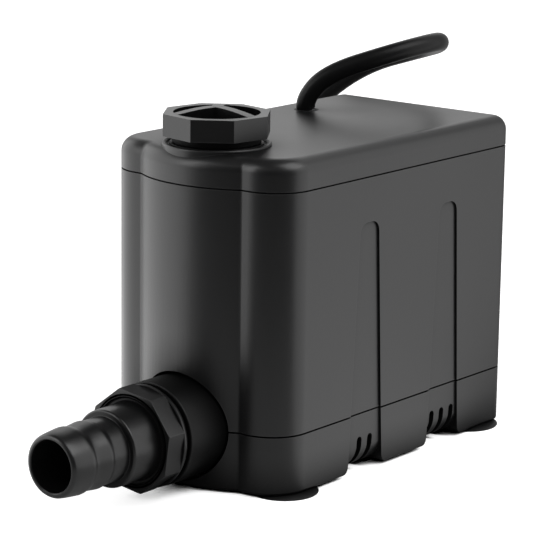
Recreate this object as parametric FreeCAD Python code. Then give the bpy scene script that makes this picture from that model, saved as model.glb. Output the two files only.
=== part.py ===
"""Submersible water pump with a hose barb, a capped top port and a power cord.

Frame: +Z up, the outlet faces -Y, millimetres. The origin is the centre of the
footprint, at the floor, measured without the cord.
"""
import math
import os

import FreeCAD
import Part

os.makedirs("parts", exist_ok=True)

V = FreeCAD.Vector
X_AXIS = V(1, 0, 0)
Y_AXIS = V(0, 1, 0)
Z_AXIS = V(0, 0, 1)

# Clearances between parts
RUN_GAP = 0.06
BODY_GAP = 0.15
THREAD_GAP = 0.30
SEAL_GAP = 0.05
CURVED_GAP = 0.30
WALL = 2.5

# Plan outline of the pump, seen from above
HALF_WIDTH = 45.0
HALF_LENGTH = 116.9
BACK_Y = HALF_LENGTH
BACK_R = 6.3
FRONT_R = 16.5
FRONT_CORNER_Y = -21.7
NOSE_BULGE = 7.45
NOSE_BLEND_R = 3.0
SHOULDER_FLAT = 2.36
SHOULDER_Y = FRONT_CORNER_Y - FRONT_R
NOSE_Y = SHOULDER_Y - NOSE_BULGE
FRONT_CORNER_X = HALF_WIDTH - FRONT_R
NOSE_HALF = FRONT_CORNER_X - SHOULDER_FLAT
NOSE_A = NOSE_BLEND_R - NOSE_BULGE
NOSE_R = (NOSE_HALF ** 2 + NOSE_A ** 2 - NOSE_BLEND_R ** 2) / (2 * NOSE_BULGE)
NOSE_CY = NOSE_Y + NOSE_R
BLEND_CY = SHOULDER_Y - NOSE_BLEND_R

# Heights
BASE_Z0 = 1.2
BASE_FILLET = 1.0
PART_Z = 24.8
SEAM_RISE = 0.2
SEAM_DEPTH = 1.8
DECK_Z0 = 38.3
DECK_Z1 = 41.3
LID_Z = 120.6
LID_HEIGHT = 12.65
LID_TOP = LID_Z + LID_HEIGHT
GROOVE = 0.4
LID_FILLET = 6.0
BASE_FLOOR_Z = BASE_Z0 + WALL

# Upright recesses in both sides
RECESS_YS = (18.1, 71.7)
RECESS_DEPTH = 0.85
RECESS_TOP = 102.6
RECESS_HALF = 10.0
RECESS_SLOPE = 0.049
RECESS_TOP_R = 4.5
RECESS_FOOT_R = 3.6
UNDER_R = 10.8

# Intake slots in the recesses of the base
SLOT_W = 3.2
SLOT_TOP = 15.1
SLOT_PITCH = 6.9
SLOT_LEAN = 0.09
SLOT_MIDDLES = (18.7, 72.1)
SLOT_COUNTS = (2, 3)

# Suction cups
CUP_R = 13.85
CUP_X = HALF_WIDTH - 9.6
CUP_YS = (FRONT_CORNER_Y - 0.4, BACK_Y - 14.0)
CUP_STEM_R = 3.2
CUP_HEAD_R = 4.6

# Outlet and hose barb, along the line y at height AXIS_Z
AXIS_Z = 24.4
BOSS_R = 20.8
BOSS_HOLE_R = 22.0
BOSS_Y = -60.6
BOSS_BACK_Y = SHOULDER_Y - 0.9
BOSS_HOLE_END_Y = SHOULDER_Y + 0.9
PORT_BORE_R = 16.9
PORT_SHANK_R = PORT_BORE_R - THREAD_GAP
SOCKET_Y = -46.5
PASSAGE_R = 10.5
PIPE_R = 13.5
GASKET_Y = -63.0
FLANGE_Y = -64.3
COLLAR_Y = -73.0
BARB_TIP_Y = -HALF_LENGTH
SECTION_Y = BARB_TIP_Y + 29.8
BARB_BORE_R = 10.2
COLLAR_R = 20.9

# Top port and its cap
PORT_Y = -22.6
RING_R = 21.5
RING_TOP = LID_TOP + 1.35
RING_FOOT = LID_TOP - 21.25
INNER_RING_R = 18.5
TOP_BORE_R = 15.4
CAP_PLUG_R = TOP_BORE_R - THREAD_GAP
CAP_NECK_R = 17.5
CAP_Z0 = LID_TOP + 4.1
CAP_Z1 = LID_TOP + 12.85
CAP_PLUG_Z = CAP_Z0 - 13.35
CAP_R = 21.9
CAP_OPEN_R = 17.0
CAP_RIB_W = 4.5
CAP_RIB_RISE = 2.2
CAP_RIB_TURNS = (1.0, 121.0, 241.0)

# Wet end, its axis upright
ROTOR_Y = 28.8
CHAMBER_R = 27.0
CHAMBER_WALL = 2.5
COVER_Z0 = 10.5
COVER_Z1 = 13.5
SEAL_Z = 14.3
SPIGOT_R = 12.5
SPIGOT_BORE_R = 9.8
SPIGOT_END_Y = -1.2
EYE_R = 9.5
BUSH_R = 5.0
EAR_R = 4.0
EAR_AT = (CHAMBER_R + EAR_R - 1.0) / math.sqrt(2)
IMPELLER_GAP = 5.5
IMPELLER_R = CHAMBER_R - CHAMBER_WALL - IMPELLER_GAP
VANES = 6
SHAFT_R = 2.5
MAGNET_R = 13.0
WELL_IN_R = 14.5
WELL_OUT_R = 16.5
WELL_TOP = 95.0
WELL_END_Z = WELL_TOP - 2.0
SHAFT_TOP = WELL_END_Z - 1.0
MAGNET_Z0 = 42.0
MAGNET_Z1 = WELL_END_Z - 6.0

# Motor
STACK_Z0 = 52.0
STACK_Z1 = 80.0
LEG_X0 = 17.0
LEG_X1 = 31.0
YOKE_Y0 = 76.8
YOKE_Y1 = 90.8
BOBBIN_HALF = 15.0
BOBBIN_Y0 = YOKE_Y0 - 9.0
BOBBIN_Y1 = YOKE_Y1 + 9.0
BOBBIN_Z0 = STACK_Z0 - 8.5
BOBBIN_Z1 = STACK_Z1 + 8.5
CASE_X = 34.0
CASE_Y0 = 7.8
CASE_Y1 = 102.8
CASE_TOP = 96.0
RESIN_TOP = 93.0

# Screws that hold the housing to the lid, from below the deck
PILLAR_REAR_X = HALF_WIDTH - 7.5
PILLAR_REAR_Y = BACK_Y - 8.0
PILLAR_FRONT_X = HALF_WIDTH - 12.0
PILLAR_FRONT_Y = FRONT_CORNER_Y + 8.7
PILLARS = (
    (PILLAR_REAR_X, PILLAR_REAR_Y), (-PILLAR_REAR_X, PILLAR_REAR_Y),
    (PILLAR_FRONT_X, PILLAR_FRONT_Y), (-PILLAR_FRONT_X, PILLAR_FRONT_Y))
PILLAR_R = 4.5

# Power cord
CORD_D = 8.0
CORD_ROOT = (18.8 - HALF_WIDTH, 67.5)
CORD_ROUTE = [
    CORD_ROOT + (LID_TOP - 0.05,), CORD_ROOT + (LID_TOP + 9.65,), (-13.9, 77.7, 151.6),
    (1.3, 89.0, 157.4), (7.6, 110.2, 161.1), (-1.5, 134.0, 157.7),
    (-23.5, 147.4, 150.8), (-52.6, 138.8, 142.8), (-69.9, 128.7, 117.5),
    (-70.0, 129.2, 84.0), (-74.3, 129.7, 56.0), (-83.5, 132.0, 33.0),
    (-99.0, 135.0, 20.5)]
COIL_X = -85.0
COIL_Y = 176.7
COIL_MEAN_R = 40.0
COIL_COLUMNS = 2
COIL_LAYERS = 3
COIL_H = COIL_LAYERS * CORD_D
COIL_OUT_R = COIL_MEAN_R + COIL_COLUMNS * CORD_D / 2
COIL_IN_R = COIL_MEAN_R - COIL_COLUMNS * CORD_D / 2
TAIL_TURN = 78.0
TAIL_RUN = 18.0
TAIL_HEADINGS = (-12.0, -27.0, -43.0, -60.0)
TAIL_RISE = (4.0, 5.2, 9.0, 13.0, 13.0)
PLUG_Z = 13.0
PLUG_LENGTH = 34.0
PLUG_W = 26.0
PLUG_H = 25.0
RELIEF_LENGTH = 14.0


def save(shape, name):
    """Write one node."""
    shape.exportStep("parts/" + name + ".step")
    print(name, "volume", round(shape.Volume, 1), "solids", len(shape.Solids))


def tube(x, y, r, z0, z1):
    """Upright cylinder."""
    return Part.makeCylinder(r, z1 - z0, V(x, y, z0), Z_AXIS)


def along_y(r, y0, y1, x=0.0, z=AXIS_Z):
    """Cylinder along y, between y0 and y1."""
    return Part.makeCylinder(r, y1 - y0, V(x, y0, z), Y_AXIS)


def block(x0, x1, y0, y1, z0, z1):
    """Box between two corners."""
    return Part.makeBox(x1 - x0, y1 - y0, z1 - z0, V(x0, y0, z0))


def polygon(points, to_vector):
    """Face from flat points."""
    corners = [to_vector(*p) for p in points]
    return Part.Face(Part.makePolygon(corners + [corners[0]]))


def arc(x, y, r, a0, a1):
    """Arc of a circle in plan, from angle a0 to a1 in degrees."""
    ends = []
    for a in (a0, (a0 + a1) / 2, a1):
        turn = math.radians(a)
        ends.append(V(x + r * math.cos(turn), y + r * math.sin(turn), 0))
    return Part.Arc(ends[0], ends[1], ends[2]).toShape()


def line(a, b):
    """Straight edge in plan."""
    return Part.makeLine(V(a[0], a[1], 0), V(b[0], b[1], 0))


def outline(inset):
    """Plan outline of the pump, moved inwards by inset."""
    half = HALF_WIDTH - inset
    back = BACK_Y - inset
    back_r = BACK_R - inset
    front_r = FRONT_R - inset
    nose_r = NOSE_R - inset
    blend_r = NOSE_BLEND_R + inset
    back_cx = HALF_WIDTH - BACK_R
    back_cy = BACK_Y - BACK_R
    lean = math.degrees(math.atan2(BLEND_CY - NOSE_CY, NOSE_HALF))
    shoulder = SHOULDER_Y + inset
    edges = [line((-back_cx, back), (back_cx, back))]
    edges.append(arc(back_cx, back_cy, back_r, 90, 0))
    edges.append(line((half, back_cy), (half, FRONT_CORNER_Y)))
    edges.append(arc(FRONT_CORNER_X, FRONT_CORNER_Y, front_r, 0, -90))
    edges.append(line((FRONT_CORNER_X, shoulder), (NOSE_HALF, shoulder)))
    edges.append(arc(NOSE_HALF, BLEND_CY, blend_r, 90, 180 + lean))
    edges.append(arc(0, NOSE_CY, nose_r, lean, -180 - lean))
    edges.append(arc(-NOSE_HALF, BLEND_CY, blend_r, -lean, 90))
    edges.append(line((-NOSE_HALF, shoulder), (-FRONT_CORNER_X, shoulder)))
    edges.append(arc(-FRONT_CORNER_X, FRONT_CORNER_Y, front_r, -90, -180))
    edges.append(line((-half, FRONT_CORNER_Y), (-half, back_cy)))
    edges.append(arc(-back_cx, back_cy, back_r, 180, 90))
    return Part.Face(Part.Wire(Part.__sortEdges__(edges)))


def prism(inset, z0, z1):
    """Solid of the outline between two heights."""
    face = outline(inset)
    face.translate(V(0, 0, z0))
    return face.extrude(V(0, 0, z1 - z0))


def band(outer, inner, z0, z1):
    """Closed band that follows the outline."""
    return prism(outer, z0, z1).cut(prism(inner, z0 - 1, z1 + 1))


def turned(points, y_axis=False, x=0.0, y=0.0):
    """Solid of revolution; points are (radius, position) in order."""
    if y_axis:
        face = polygon(points, lambda r, s: V(r, s, AXIS_Z))
        return face.revolve(V(0, 0, AXIS_Z), Y_AXIS, 360)
    face = polygon(points, lambda r, s: V(x + r, y, s))
    return face.revolve(V(x, y, 0), Z_AXIS, 360)


def octagon(r, first_turn, z0, z1):
    """Eight-sided solid about +Z, with a corner at first_turn degrees."""
    corners = []
    for k in range(8):
        turn = math.radians(first_turn + 45 * k)
        corners.append((r * math.cos(turn), r * math.sin(turn)))
    face = polygon(corners, lambda a, b: V(a, b, z0))
    return face.extrude(V(0, 0, z1 - z0))


def recess_outline(y, top, foot):
    """Side view of one recess as (y, z) points, flared at the foot."""
    def half(z):
        return RECESS_HALF + RECESS_SLOPE * (PART_Z - z)
    right = [(y + half(top), top)]
    if foot:
        for k in range(0, 91, 15):
            turn = math.radians(k)
            out = RECESS_FOOT_R * (1 - math.cos(turn))
            up = RECESS_FOOT_R * (1 - math.sin(turn))
            right.append((y + half(BASE_Z0) + out, BASE_Z0 + up))
        right.append((y + half(BASE_Z0) + RECESS_FOOT_R, -1.0))
    else:
        right.append((y + half(PART_Z - 2), PART_Z - 2))
    left = [(2 * y - p[0], p[1]) for p in reversed(right)]
    return right + left


def both_sides(shape):
    """The shape and its mirror image in x."""
    return [shape, shape.mirror(V(0, 0, 0), X_AXIS)]


def housing_recesses():
    """Cutting solids for the recesses of the housing."""
    tools = []
    for y in RECESS_YS:
        face = polygon(recess_outline(y, RECESS_TOP, False), lambda a, b: V(HALF_WIDTH - RECESS_DEPTH, a, b))
        tool = face.extrude(V(3, 0, 0))
        upper = []
        for e in tool.Edges:
            ends = [v.Point for v in e.Vertexes]
            if all(abs(p.z - RECESS_TOP) < 0.01 for p in ends) and abs(ends[0].x - ends[1].x) > 1:
                upper.append(e)
        tools += both_sides(tool.makeFillet(RECESS_TOP_R, upper))
    return tools


def under_region(y):
    """What lies outside the curved underside of a recess, along y."""
    skin = HALF_WIDTH - RECESS_DEPTH
    cx = skin - UNDER_R
    cz = BASE_Z0 + UNDER_R
    points = [(skin, PART_Z + 1), (HALF_WIDTH + 5, PART_Z + 1), (HALF_WIDTH + 5, -1), (cx, -1)]
    for k in range(-90, 1, 6):
        turn = math.radians(k)
        points.append((cx + UNDER_R * math.cos(turn), cz + UNDER_R * math.sin(turn)))
    face = polygon(points, lambda a, b: V(a, y - 18, b))
    return face.extrude(V(0, 36, 0))


def base_recesses():
    """Cutting solids for the recesses of the base."""
    tools = []
    for y in RECESS_YS:
        face = polygon(recess_outline(y, PART_Z + 1, True), lambda a, b: V(HALF_WIDTH - 15, a, b))
        tools += both_sides(face.extrude(V(22, 0, 0)).common(under_region(y)))
    return tools


def slot_tools():
    """Cutting solids for the intake slots, leaning forward on the way down."""
    tools = []
    r = SLOT_W / 2
    start = HALF_WIDTH - 11.0
    for middle, count in zip(SLOT_MIDDLES, SLOT_COUNTS):
        for k in range(count):
            y = middle + (k - (count - 1) / 2) * SLOT_PITCH
            low = block(start, start + 13.0, y - r, y + r, -2.0, SLOT_TOP - r)
            top = Part.makeCylinder(r, 13.0, V(start, y, SLOT_TOP - r), X_AXIS)
            slot = low.fuse(top)
            slot.rotate(V(0, y, SLOT_TOP - r), X_AXIS, -math.degrees(math.atan(SLOT_LEAN)))
            tools += both_sides(slot)
    return tools


def base_cavity():
    """Hollow of the base, round along both lower sides."""
    inset = RECESS_DEPTH + WALL
    half = HALF_WIDTH - inset
    r = UNDER_R - WALL
    points = [(half, PART_Z + 1), (-half, PART_Z + 1)]
    for k in range(180, 271, 10):
        turn = math.radians(k)
        points.append((-half + r + r * math.cos(turn), BASE_FLOOR_Z + r + r * math.sin(turn)))
    for k in range(270, 361, 10):
        turn = math.radians(k)
        points.append((half - r + r * math.cos(turn), BASE_FLOOR_Z + r + r * math.sin(turn)))
    face = polygon(points, lambda a, b: V(a, NOSE_Y - 10, b))
    trough = face.extrude(V(0, BACK_Y - NOSE_Y + 20, 0))
    return prism(inset, BASE_FLOOR_Z, PART_Z + 1).common(trough)


def strainer_base():
    """Lower half: intake strainer with slots in the side recesses."""
    body = prism(0, BASE_Z0, PART_Z - BODY_GAP)
    low = [e for e in body.Edges if all(abs(v.Point.z - BASE_Z0) < 0.01 for v in e.Vertexes)]
    body = body.makeFillet(BASE_FILLET, low)
    body = body.cut(base_cavity())
    body = body.cut(base_recesses())
    body = body.cut(band(-1.0, SEAM_DEPTH, PART_Z - BODY_GAP - SEAM_RISE, PART_Z + 1))
    body = body.cut(slot_tools())
    body = body.cut(along_y(BOSS_HOLE_R, -62, BOSS_HOLE_END_Y))
    for y in CUP_YS:
        for x in (CUP_X, -CUP_X):
            body = body.cut(tube(x, y, CUP_STEM_R + SEAL_GAP, 0, 6))
            body = body.cut(tube(x, y, CUP_HEAD_R + 0.6, BASE_FLOOR_Z, 12))
    return body


def suction_cup(x, y):
    """Soft foot with a thin lip, a stem and a head above the floor plate."""
    head = BASE_FLOOR_Z + SEAL_GAP
    points = [(0, 1.0), (7.0, 0.9), (10.0, 0.35), (11.5, 0.0), (CUP_R, 0.0), (CUP_R, 0.35),
              (12.4, 1.0), (9.5, BASE_Z0 - SEAL_GAP), (CUP_STEM_R, BASE_Z0 - SEAL_GAP),
              (CUP_STEM_R, head), (CUP_HEAD_R, head), (CUP_HEAD_R, head + 1.0), (3.0, head + 2.4), (0, head + 2.4)]
    return turned(points, x=x, y=y)


def main_housing():
    """Upper half with a deck, pillars and the upper half of the outlet hole."""
    body = prism(0, PART_Z + BODY_GAP, LID_Z - GROOVE / 2)
    body = body.cut(prism(WALL, PART_Z - 1, DECK_Z0))
    room = prism(WALL, DECK_Z1, LID_Z + 1)
    for x, y in PILLARS:
        room = room.cut(tube(x, y, PILLAR_R, DECK_Z1 - 1, LID_Z + 2))
    body = body.cut(room)
    for x, y in PILLARS:
        body = body.cut(tube(x, y, 1.9, DECK_Z0 - 1, LID_Z + 1))
    body = body.cut(housing_recesses())
    body = body.cut(band(-1.0, SEAM_DEPTH, PART_Z - 1, PART_Z + BODY_GAP + SEAM_RISE))
    body = body.cut(along_y(BOSS_HOLE_R, -62, BOSS_HOLE_END_Y))
    body = body.cut(tube(0, ROTOR_Y, WELL_OUT_R + CURVED_GAP, DECK_Z0 - 1, DECK_Z1 + 1))
    body = body.cut(tube(0, PORT_Y, PASSAGE_R, DECK_Z0 - 1, DECK_Z1 + 1))
    return body


def top_lid():
    """Lid with rounded edge, the top port's ring and the cord's hole."""
    body = prism(0, LID_Z + GROOVE / 2, LID_TOP)
    high = [e for e in body.Edges if all(abs(v.Point.z - LID_TOP) < 0.01 for v in e.Vertexes)]
    body = body.makeFillet(LID_FILLET, high)
    body = body.cut(prism(4.2, LID_Z, LID_TOP - WALL))
    ring = [(0, RING_FOOT), (INNER_RING_R, RING_FOOT), (INNER_RING_R, RING_FOOT + 10.0),
            (RING_R, RING_FOOT + 12.0), (RING_R, RING_TOP - 1.0)]
    for k in range(0, 181, 20):
        turn = math.radians(k)
        ring.append((20.5 + 1.0 * math.cos(turn), RING_TOP - 1.0 + 1.0 * math.sin(turn)))
    ring += [(19.5, RING_TOP - 1.3), (INNER_RING_R, RING_TOP - 1.3), (INNER_RING_R, RING_TOP - 0.5),
             (18.2, RING_TOP - 0.2), (0, RING_TOP - 0.2)]
    body = body.fuse(turned(ring, y=PORT_Y))
    skirt = band(WALL + 0.2, 4.2, LID_Z - 3.1, LID_Z + 1)
    for x, y in PILLARS:
        skirt = skirt.cut(tube(x, y, PILLAR_R + 0.4, LID_Z - 4.6, LID_Z - GROOVE / 2))
    body = body.fuse(skirt)
    for x, y in PILLARS:
        body = body.fuse(tube(x, y, PILLAR_R, LID_Z - GROOVE / 2, LID_TOP - WALL).common(prism(1.5, LID_Z - 10, LID_TOP)))
        body = body.cut(tube(x, y, 1.6, LID_Z - 8.6, LID_TOP - 4.05))
    body = body.cut(tube(0, PORT_Y, TOP_BORE_R, RING_FOOT + 4.0, RING_TOP + 5))
    body = body.cut(tube(0, PORT_Y, PASSAGE_R, RING_FOOT - 2.0, RING_FOOT + 6.0))
    body = body.cut(tube(CORD_ROOT[0], CORD_ROOT[1], 5.2, LID_TOP - 8, LID_TOP + 7))
    return body.removeSplitter()


def lid_seal():
    """Soft seal in the groove between the housing and the lid."""
    return band(0.8, WALL, LID_Z - GROOVE / 2, LID_Z + GROOVE / 2)


def lid_screws():
    """Four long screws from below the deck up into the lid."""
    screws = []
    for x, y in PILLARS:
        head = tube(x, y, 3.4, DECK_Z0 - 2.6, DECK_Z0)
        drive = octagon(1.5, 0, DECK_Z0 - 3, DECK_Z0 - 1.2)
        drive.translate(V(x, y, 0))
        screws.append(head.cut(drive).fuse(tube(x, y, 1.5, DECK_Z0, LID_TOP - 5.25)).removeSplitter())
    return Part.Compound(screws)


def cap_rib(turn_deg):
    """One raised rib of the cap, from the middle to the rim."""
    rise = []
    for k in range(0, 11):
        t = k / 10
        rise.append((CAP_OPEN_R * t, CAP_Z1 + CAP_RIB_RISE * math.cos(t * math.pi / 2)))
    points = [(0, CAP_PLUG_Z + 2), (CAP_OPEN_R + 0.4, CAP_PLUG_Z + 2), (CAP_OPEN_R + 0.4, CAP_Z1 - 0.3)]
    points += list(reversed(rise))
    face = polygon(points, lambda a, b: V(a, -CAP_RIB_W / 2, b))
    rib = face.extrude(V(0, CAP_RIB_W, 0))
    rib.rotate(V(0, 0, 0), Z_AXIS, turn_deg)
    return rib


def top_port_cap():
    """Eight-sided cap with three ribs over deep pockets and a plug below."""
    head = octagon(CAP_R, 12.5, CAP_Z0, CAP_Z1)
    rim = turned([(0, CAP_Z0 - 1), (CAP_R + 2, CAP_Z0 - 1), (CAP_R + 2, CAP_Z1 - 2.2), (CAP_R - 1.4, CAP_Z1 + 1), (0, CAP_Z1 + 1)])
    head = head.common(rim)
    plug = tube(0, 0, CAP_PLUG_R, CAP_PLUG_Z, CAP_Z0)
    body = head.fuse(plug)
    body = body.cut(tube(0, 0, CAP_OPEN_R, CAP_Z0 + 2.2, CAP_Z1 + 2))
    body = body.cut(tube(0, 0, CAP_PLUG_R - 2.5, CAP_PLUG_Z + 2.5, CAP_Z1))
    keep = tube(0, 0, CAP_OPEN_R + 0.4, CAP_Z0 + 2.0, CAP_Z1 + 4)
    keep = keep.fuse(tube(0, 0, CAP_PLUG_R - 1.0, CAP_PLUG_Z + 2, CAP_Z0 + 3))
    for turn in CAP_RIB_TURNS:
        body = body.fuse(cap_rib(turn).common(keep))
    body.translate(V(0, PORT_Y, 0))
    return body.removeSplitter()


def top_port_gasket():
    """Flat ring between the cap and the port."""
    ring = tube(0, PORT_Y, CAP_NECK_R, RING_TOP - 0.1, CAP_Z0 - 0.1)
    return ring.cut(tube(0, PORT_Y, CAP_PLUG_R + 0.25, RING_TOP - 4, CAP_Z0 + 3))


def riser_pipe():
    """Upright pipe from the tee to the top port."""
    return tube(0, PORT_Y, PIPE_R, DECK_Z1, RING_FOOT - 1).cut(tube(0, PORT_Y, PASSAGE_R, DECK_Z1 - 1, RING_FOOT))


def riser_seal():
    """Ring between the riser and the lid."""
    ring = tube(0, PORT_Y, PIPE_R - 0.3, RING_FOOT - 1, RING_FOOT)
    return ring.cut(tube(0, PORT_Y, PASSAGE_R + 0.3, RING_FOOT - 2, RING_FOOT + 1))


def discharge_manifold():
    """Threaded outlet boss, passage and tee."""
    body = turned([(0, BOSS_BACK_Y), (0, BOSS_Y), (BOSS_R - 0.8, BOSS_Y), (BOSS_R, BOSS_Y + 0.8), (BOSS_R, BOSS_BACK_Y)], True)
    body = body.fuse(along_y(PIPE_R, BOSS_BACK_Y - 1, SPIGOT_END_Y))
    body = body.fuse(tube(0, PORT_Y, PIPE_R, AXIS_Z, DECK_Z0))
    body = body.cut(along_y(PORT_BORE_R, BOSS_Y - 1, SOCKET_Y))
    body = body.cut(along_y(PASSAGE_R, SOCKET_Y - 1, SPIGOT_END_Y + 1))
    body = body.cut(tube(0, PORT_Y, PASSAGE_R, AXIS_Z, DECK_Z0 + 1))
    return body.removeSplitter()


def hose_barb():
    """Hose barb with a flange, an eight-sided collar and a shank for the boss."""
    tip = BARB_TIP_Y
    points = [(0, SOCKET_Y - 0.8), (PORT_SHANK_R - 1.0, SOCKET_Y - 0.8), (PORT_SHANK_R, SOCKET_Y - 1.8),
              (PORT_SHANK_R, GASKET_Y), (20.5, GASKET_Y), (20.5, FLANGE_Y), (18.6, FLANGE_Y),
              (18.6, COLLAR_Y), (17.6, COLLAR_Y), (16.9, COLLAR_Y + 0.9), (16.0, COLLAR_Y + 0.9), (15.3, COLLAR_Y),
              (15.3, SECTION_Y + 1.0), (15.0, SECTION_Y + 0.3), (14.4, SECTION_Y), (12.8, SECTION_Y),
              (12.8, tip + 22.3), (13.0, tip + 21.3), (13.3, tip + 19.7), (13.1, tip + 17.5), (12.75, tip + 14.3),
              (12.7, tip + 12.5), (13.0, tip + 11.3), (13.25, tip + 9.7), (13.1, tip + 7.7), (12.7, tip + 3.9),
              (12.35, tip + 1.3), (11.9, tip + 0.4), (11.3, tip), (0, tip)]
    body = turned(points, True)
    collar = octagon(COLLAR_R, 15.0, 0, FLANGE_Y - COLLAR_Y)
    bevel = FLANGE_Y - COLLAR_Y
    trim = turned([(0, 0), (COLLAR_R + 1, 0), (COLLAR_R + 1, bevel - 0.9), (COLLAR_R - 0.9, bevel), (0, bevel)])
    collar = collar.common(trim)
    collar = collar.cut(tube(0, 0, 16.5, -1, bevel + 1))
    collar.rotate(V(0, 0, 0), X_AXIS, 90)
    collar.translate(V(0, FLANGE_Y, AXIS_Z))
    groove = turned([(15.3, COLLAR_Y - 1), (17.6, COLLAR_Y - 1), (17.6, COLLAR_Y), (16.9, COLLAR_Y + 0.9),
                     (16.0, COLLAR_Y + 0.9), (15.3, COLLAR_Y)], True)
    body = body.fuse(collar).cut(groove)
    body = body.cut(along_y(BARB_BORE_R, BARB_TIP_Y - 1, SOCKET_Y + 1))
    return body.removeSplitter()


def hose_barb_gasket():
    """Flat ring between the barb's flange and the boss."""
    ring = along_y(19.0, GASKET_Y + 0.1, BOSS_Y - 0.1)
    return ring.cut(along_y(PORT_SHANK_R + 0.25, GASKET_Y - 5, BOSS_Y + 5))


def impeller_chamber():
    """Round pumping chamber, open below, with a short outlet to the front."""
    inner = CHAMBER_R - CHAMBER_WALL
    body = tube(0, ROTOR_Y, CHAMBER_R, SEAL_Z, DECK_Z0)
    body = body.fuse(along_y(SPIGOT_R, SPIGOT_END_Y, ROTOR_Y - inner))
    for sx in (1, -1):
        for sy in (1, -1):
            body = body.fuse(tube(sx * EAR_AT, ROTOR_Y + sy * EAR_AT, EAR_R, SEAL_Z, SEAL_Z + 9))
    body = body.cut(tube(0, ROTOR_Y, inner, SEAL_Z - 1, DECK_Z0 - CHAMBER_WALL))
    body = body.cut(tube(0, ROTOR_Y, CHAMBER_R + CURVED_GAP, 0, SEAL_Z))
    body = body.cut(tube(0, ROTOR_Y, WELL_IN_R, SEAL_Z, DECK_Z0 + 1))
    body = body.cut(along_y(SPIGOT_BORE_R, SPIGOT_END_Y - 1, ROTOR_Y - 15))
    for sx in (1, -1):
        for sy in (1, -1):
            body = body.cut(tube(sx * EAR_AT, ROTOR_Y + sy * EAR_AT, 1.55, SEAL_Z - 1, SEAL_Z + 7))
    return body.removeSplitter()


def chamber_cover():
    """Bottom cover with the inlet eye and three spokes for the lower bushing."""
    body = tube(0, ROTOR_Y, CHAMBER_R, COVER_Z0, COVER_Z1)
    for sx in (1, -1):
        for sy in (1, -1):
            body = body.fuse(tube(sx * EAR_AT, ROTOR_Y + sy * EAR_AT, EAR_R, COVER_Z0, COVER_Z1))
    body = body.cut(tube(0, ROTOR_Y, EYE_R, 0, 20))
    hub = tube(0, ROTOR_Y, BUSH_R + 1.5, COVER_Z0, COVER_Z1)
    for turn in (90, 210, 330):
        spoke = block(0, EYE_R + 1, -1.2, 1.2, COVER_Z0, COVER_Z1)
        spoke.rotate(V(0, 0, 0), Z_AXIS, turn)
        spoke.translate(V(0, ROTOR_Y, 0))
        hub = hub.fuse(spoke)
    body = body.fuse(hub)
    body = body.cut(tube(0, ROTOR_Y, BUSH_R + SEAL_GAP, COVER_Z0 + 1.0, 20))
    for sx in (1, -1):
        for sy in (1, -1):
            body = body.cut(tube(sx * EAR_AT, ROTOR_Y + sy * EAR_AT, 1.8, 0, 20))
    return body.removeSplitter()


def chamber_cover_seal():
    """Ring between the chamber and its cover."""
    return tube(0, ROTOR_Y, CHAMBER_R - 0.3, COVER_Z1, SEAL_Z).cut(tube(0, ROTOR_Y, CHAMBER_R - 2.2, 10, 20))


def chamber_cover_screws():
    """Four short screws through the ears of the cover."""
    screws = []
    for sx in (1, -1):
        for sy in (1, -1):
            x = sx * EAR_AT
            y = ROTOR_Y + sy * EAR_AT
            head = tube(x, y, 3.0, COVER_Z0 - 2.0, COVER_Z0)
            cross = block(x - 2.0, x + 2.0, y - 0.4, y + 0.4, COVER_Z0 - 3, COVER_Z0 - 1.2)
            cross = cross.fuse(block(x - 0.4, x + 0.4, y - 2.0, y + 2.0, COVER_Z0 - 3, COVER_Z0 - 1.2))
            screws.append(head.cut(cross).fuse(tube(x, y, 1.45, COVER_Z0, SEAL_Z + 6)).removeSplitter())
    return Part.Compound(screws)


def impeller():
    """Straight-vaned impeller with a hub that reaches up to the magnet."""
    body = tube(0, 0, 6.0, 15.6, MAGNET_Z0)
    body = body.fuse(tube(0, 0, IMPELLER_R, 31.5, 33.5))
    for k in range(VANES):
        vane = block(4.5, IMPELLER_R, -0.9, 0.9, 16.0, 31.5)
        vane.rotate(V(0, 0, 0), Z_AXIS, 360.0 * k / VANES)
        body = body.fuse(vane)
    body = body.common(tube(0, 0, IMPELLER_R, 10, 50))
    body = body.cut(tube(0, 0, SHAFT_R + RUN_GAP, 10, 50))
    body.translate(V(0, ROTOR_Y, 0))
    return body.removeSplitter()


def rotor_magnet():
    """Ring magnet that turns on the fixed shaft."""
    body = tube(0, ROTOR_Y, MAGNET_R, MAGNET_Z0, MAGNET_Z1)
    return body.cut(tube(0, ROTOR_Y, SHAFT_R + RUN_GAP, MAGNET_Z0 - 2, MAGNET_Z1 + 2))


def rotor_shaft():
    """Fixed ceramic shaft."""
    return tube(0, ROTOR_Y, SHAFT_R, COVER_Z0 + 1.0, SHAFT_TOP)


def lower_bushing():
    """Bushing that holds the shaft in the cover."""
    body = tube(0, ROTOR_Y, BUSH_R, COVER_Z0 + 1.0, 15.4)
    return body.cut(tube(0, ROTOR_Y, SHAFT_R + 0.02, 5, 20))


def upper_bushing():
    """Bushing that holds the shaft in the closed end of the well."""
    body = tube(0, ROTOR_Y, WELL_IN_R - SEAL_GAP, MAGNET_Z1 + 0.2, WELL_END_Z)
    return body.cut(tube(0, ROTOR_Y, SHAFT_R + 0.02, MAGNET_Z1, WELL_TOP))


def rotor_well():
    """Closed tube that keeps the water away from the motor."""
    body = tube(0, ROTOR_Y, WELL_OUT_R, DECK_Z0, WELL_TOP)
    return body.cut(tube(0, ROTOR_Y, WELL_IN_R, DECK_Z0 - 1, WELL_END_Z))


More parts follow.
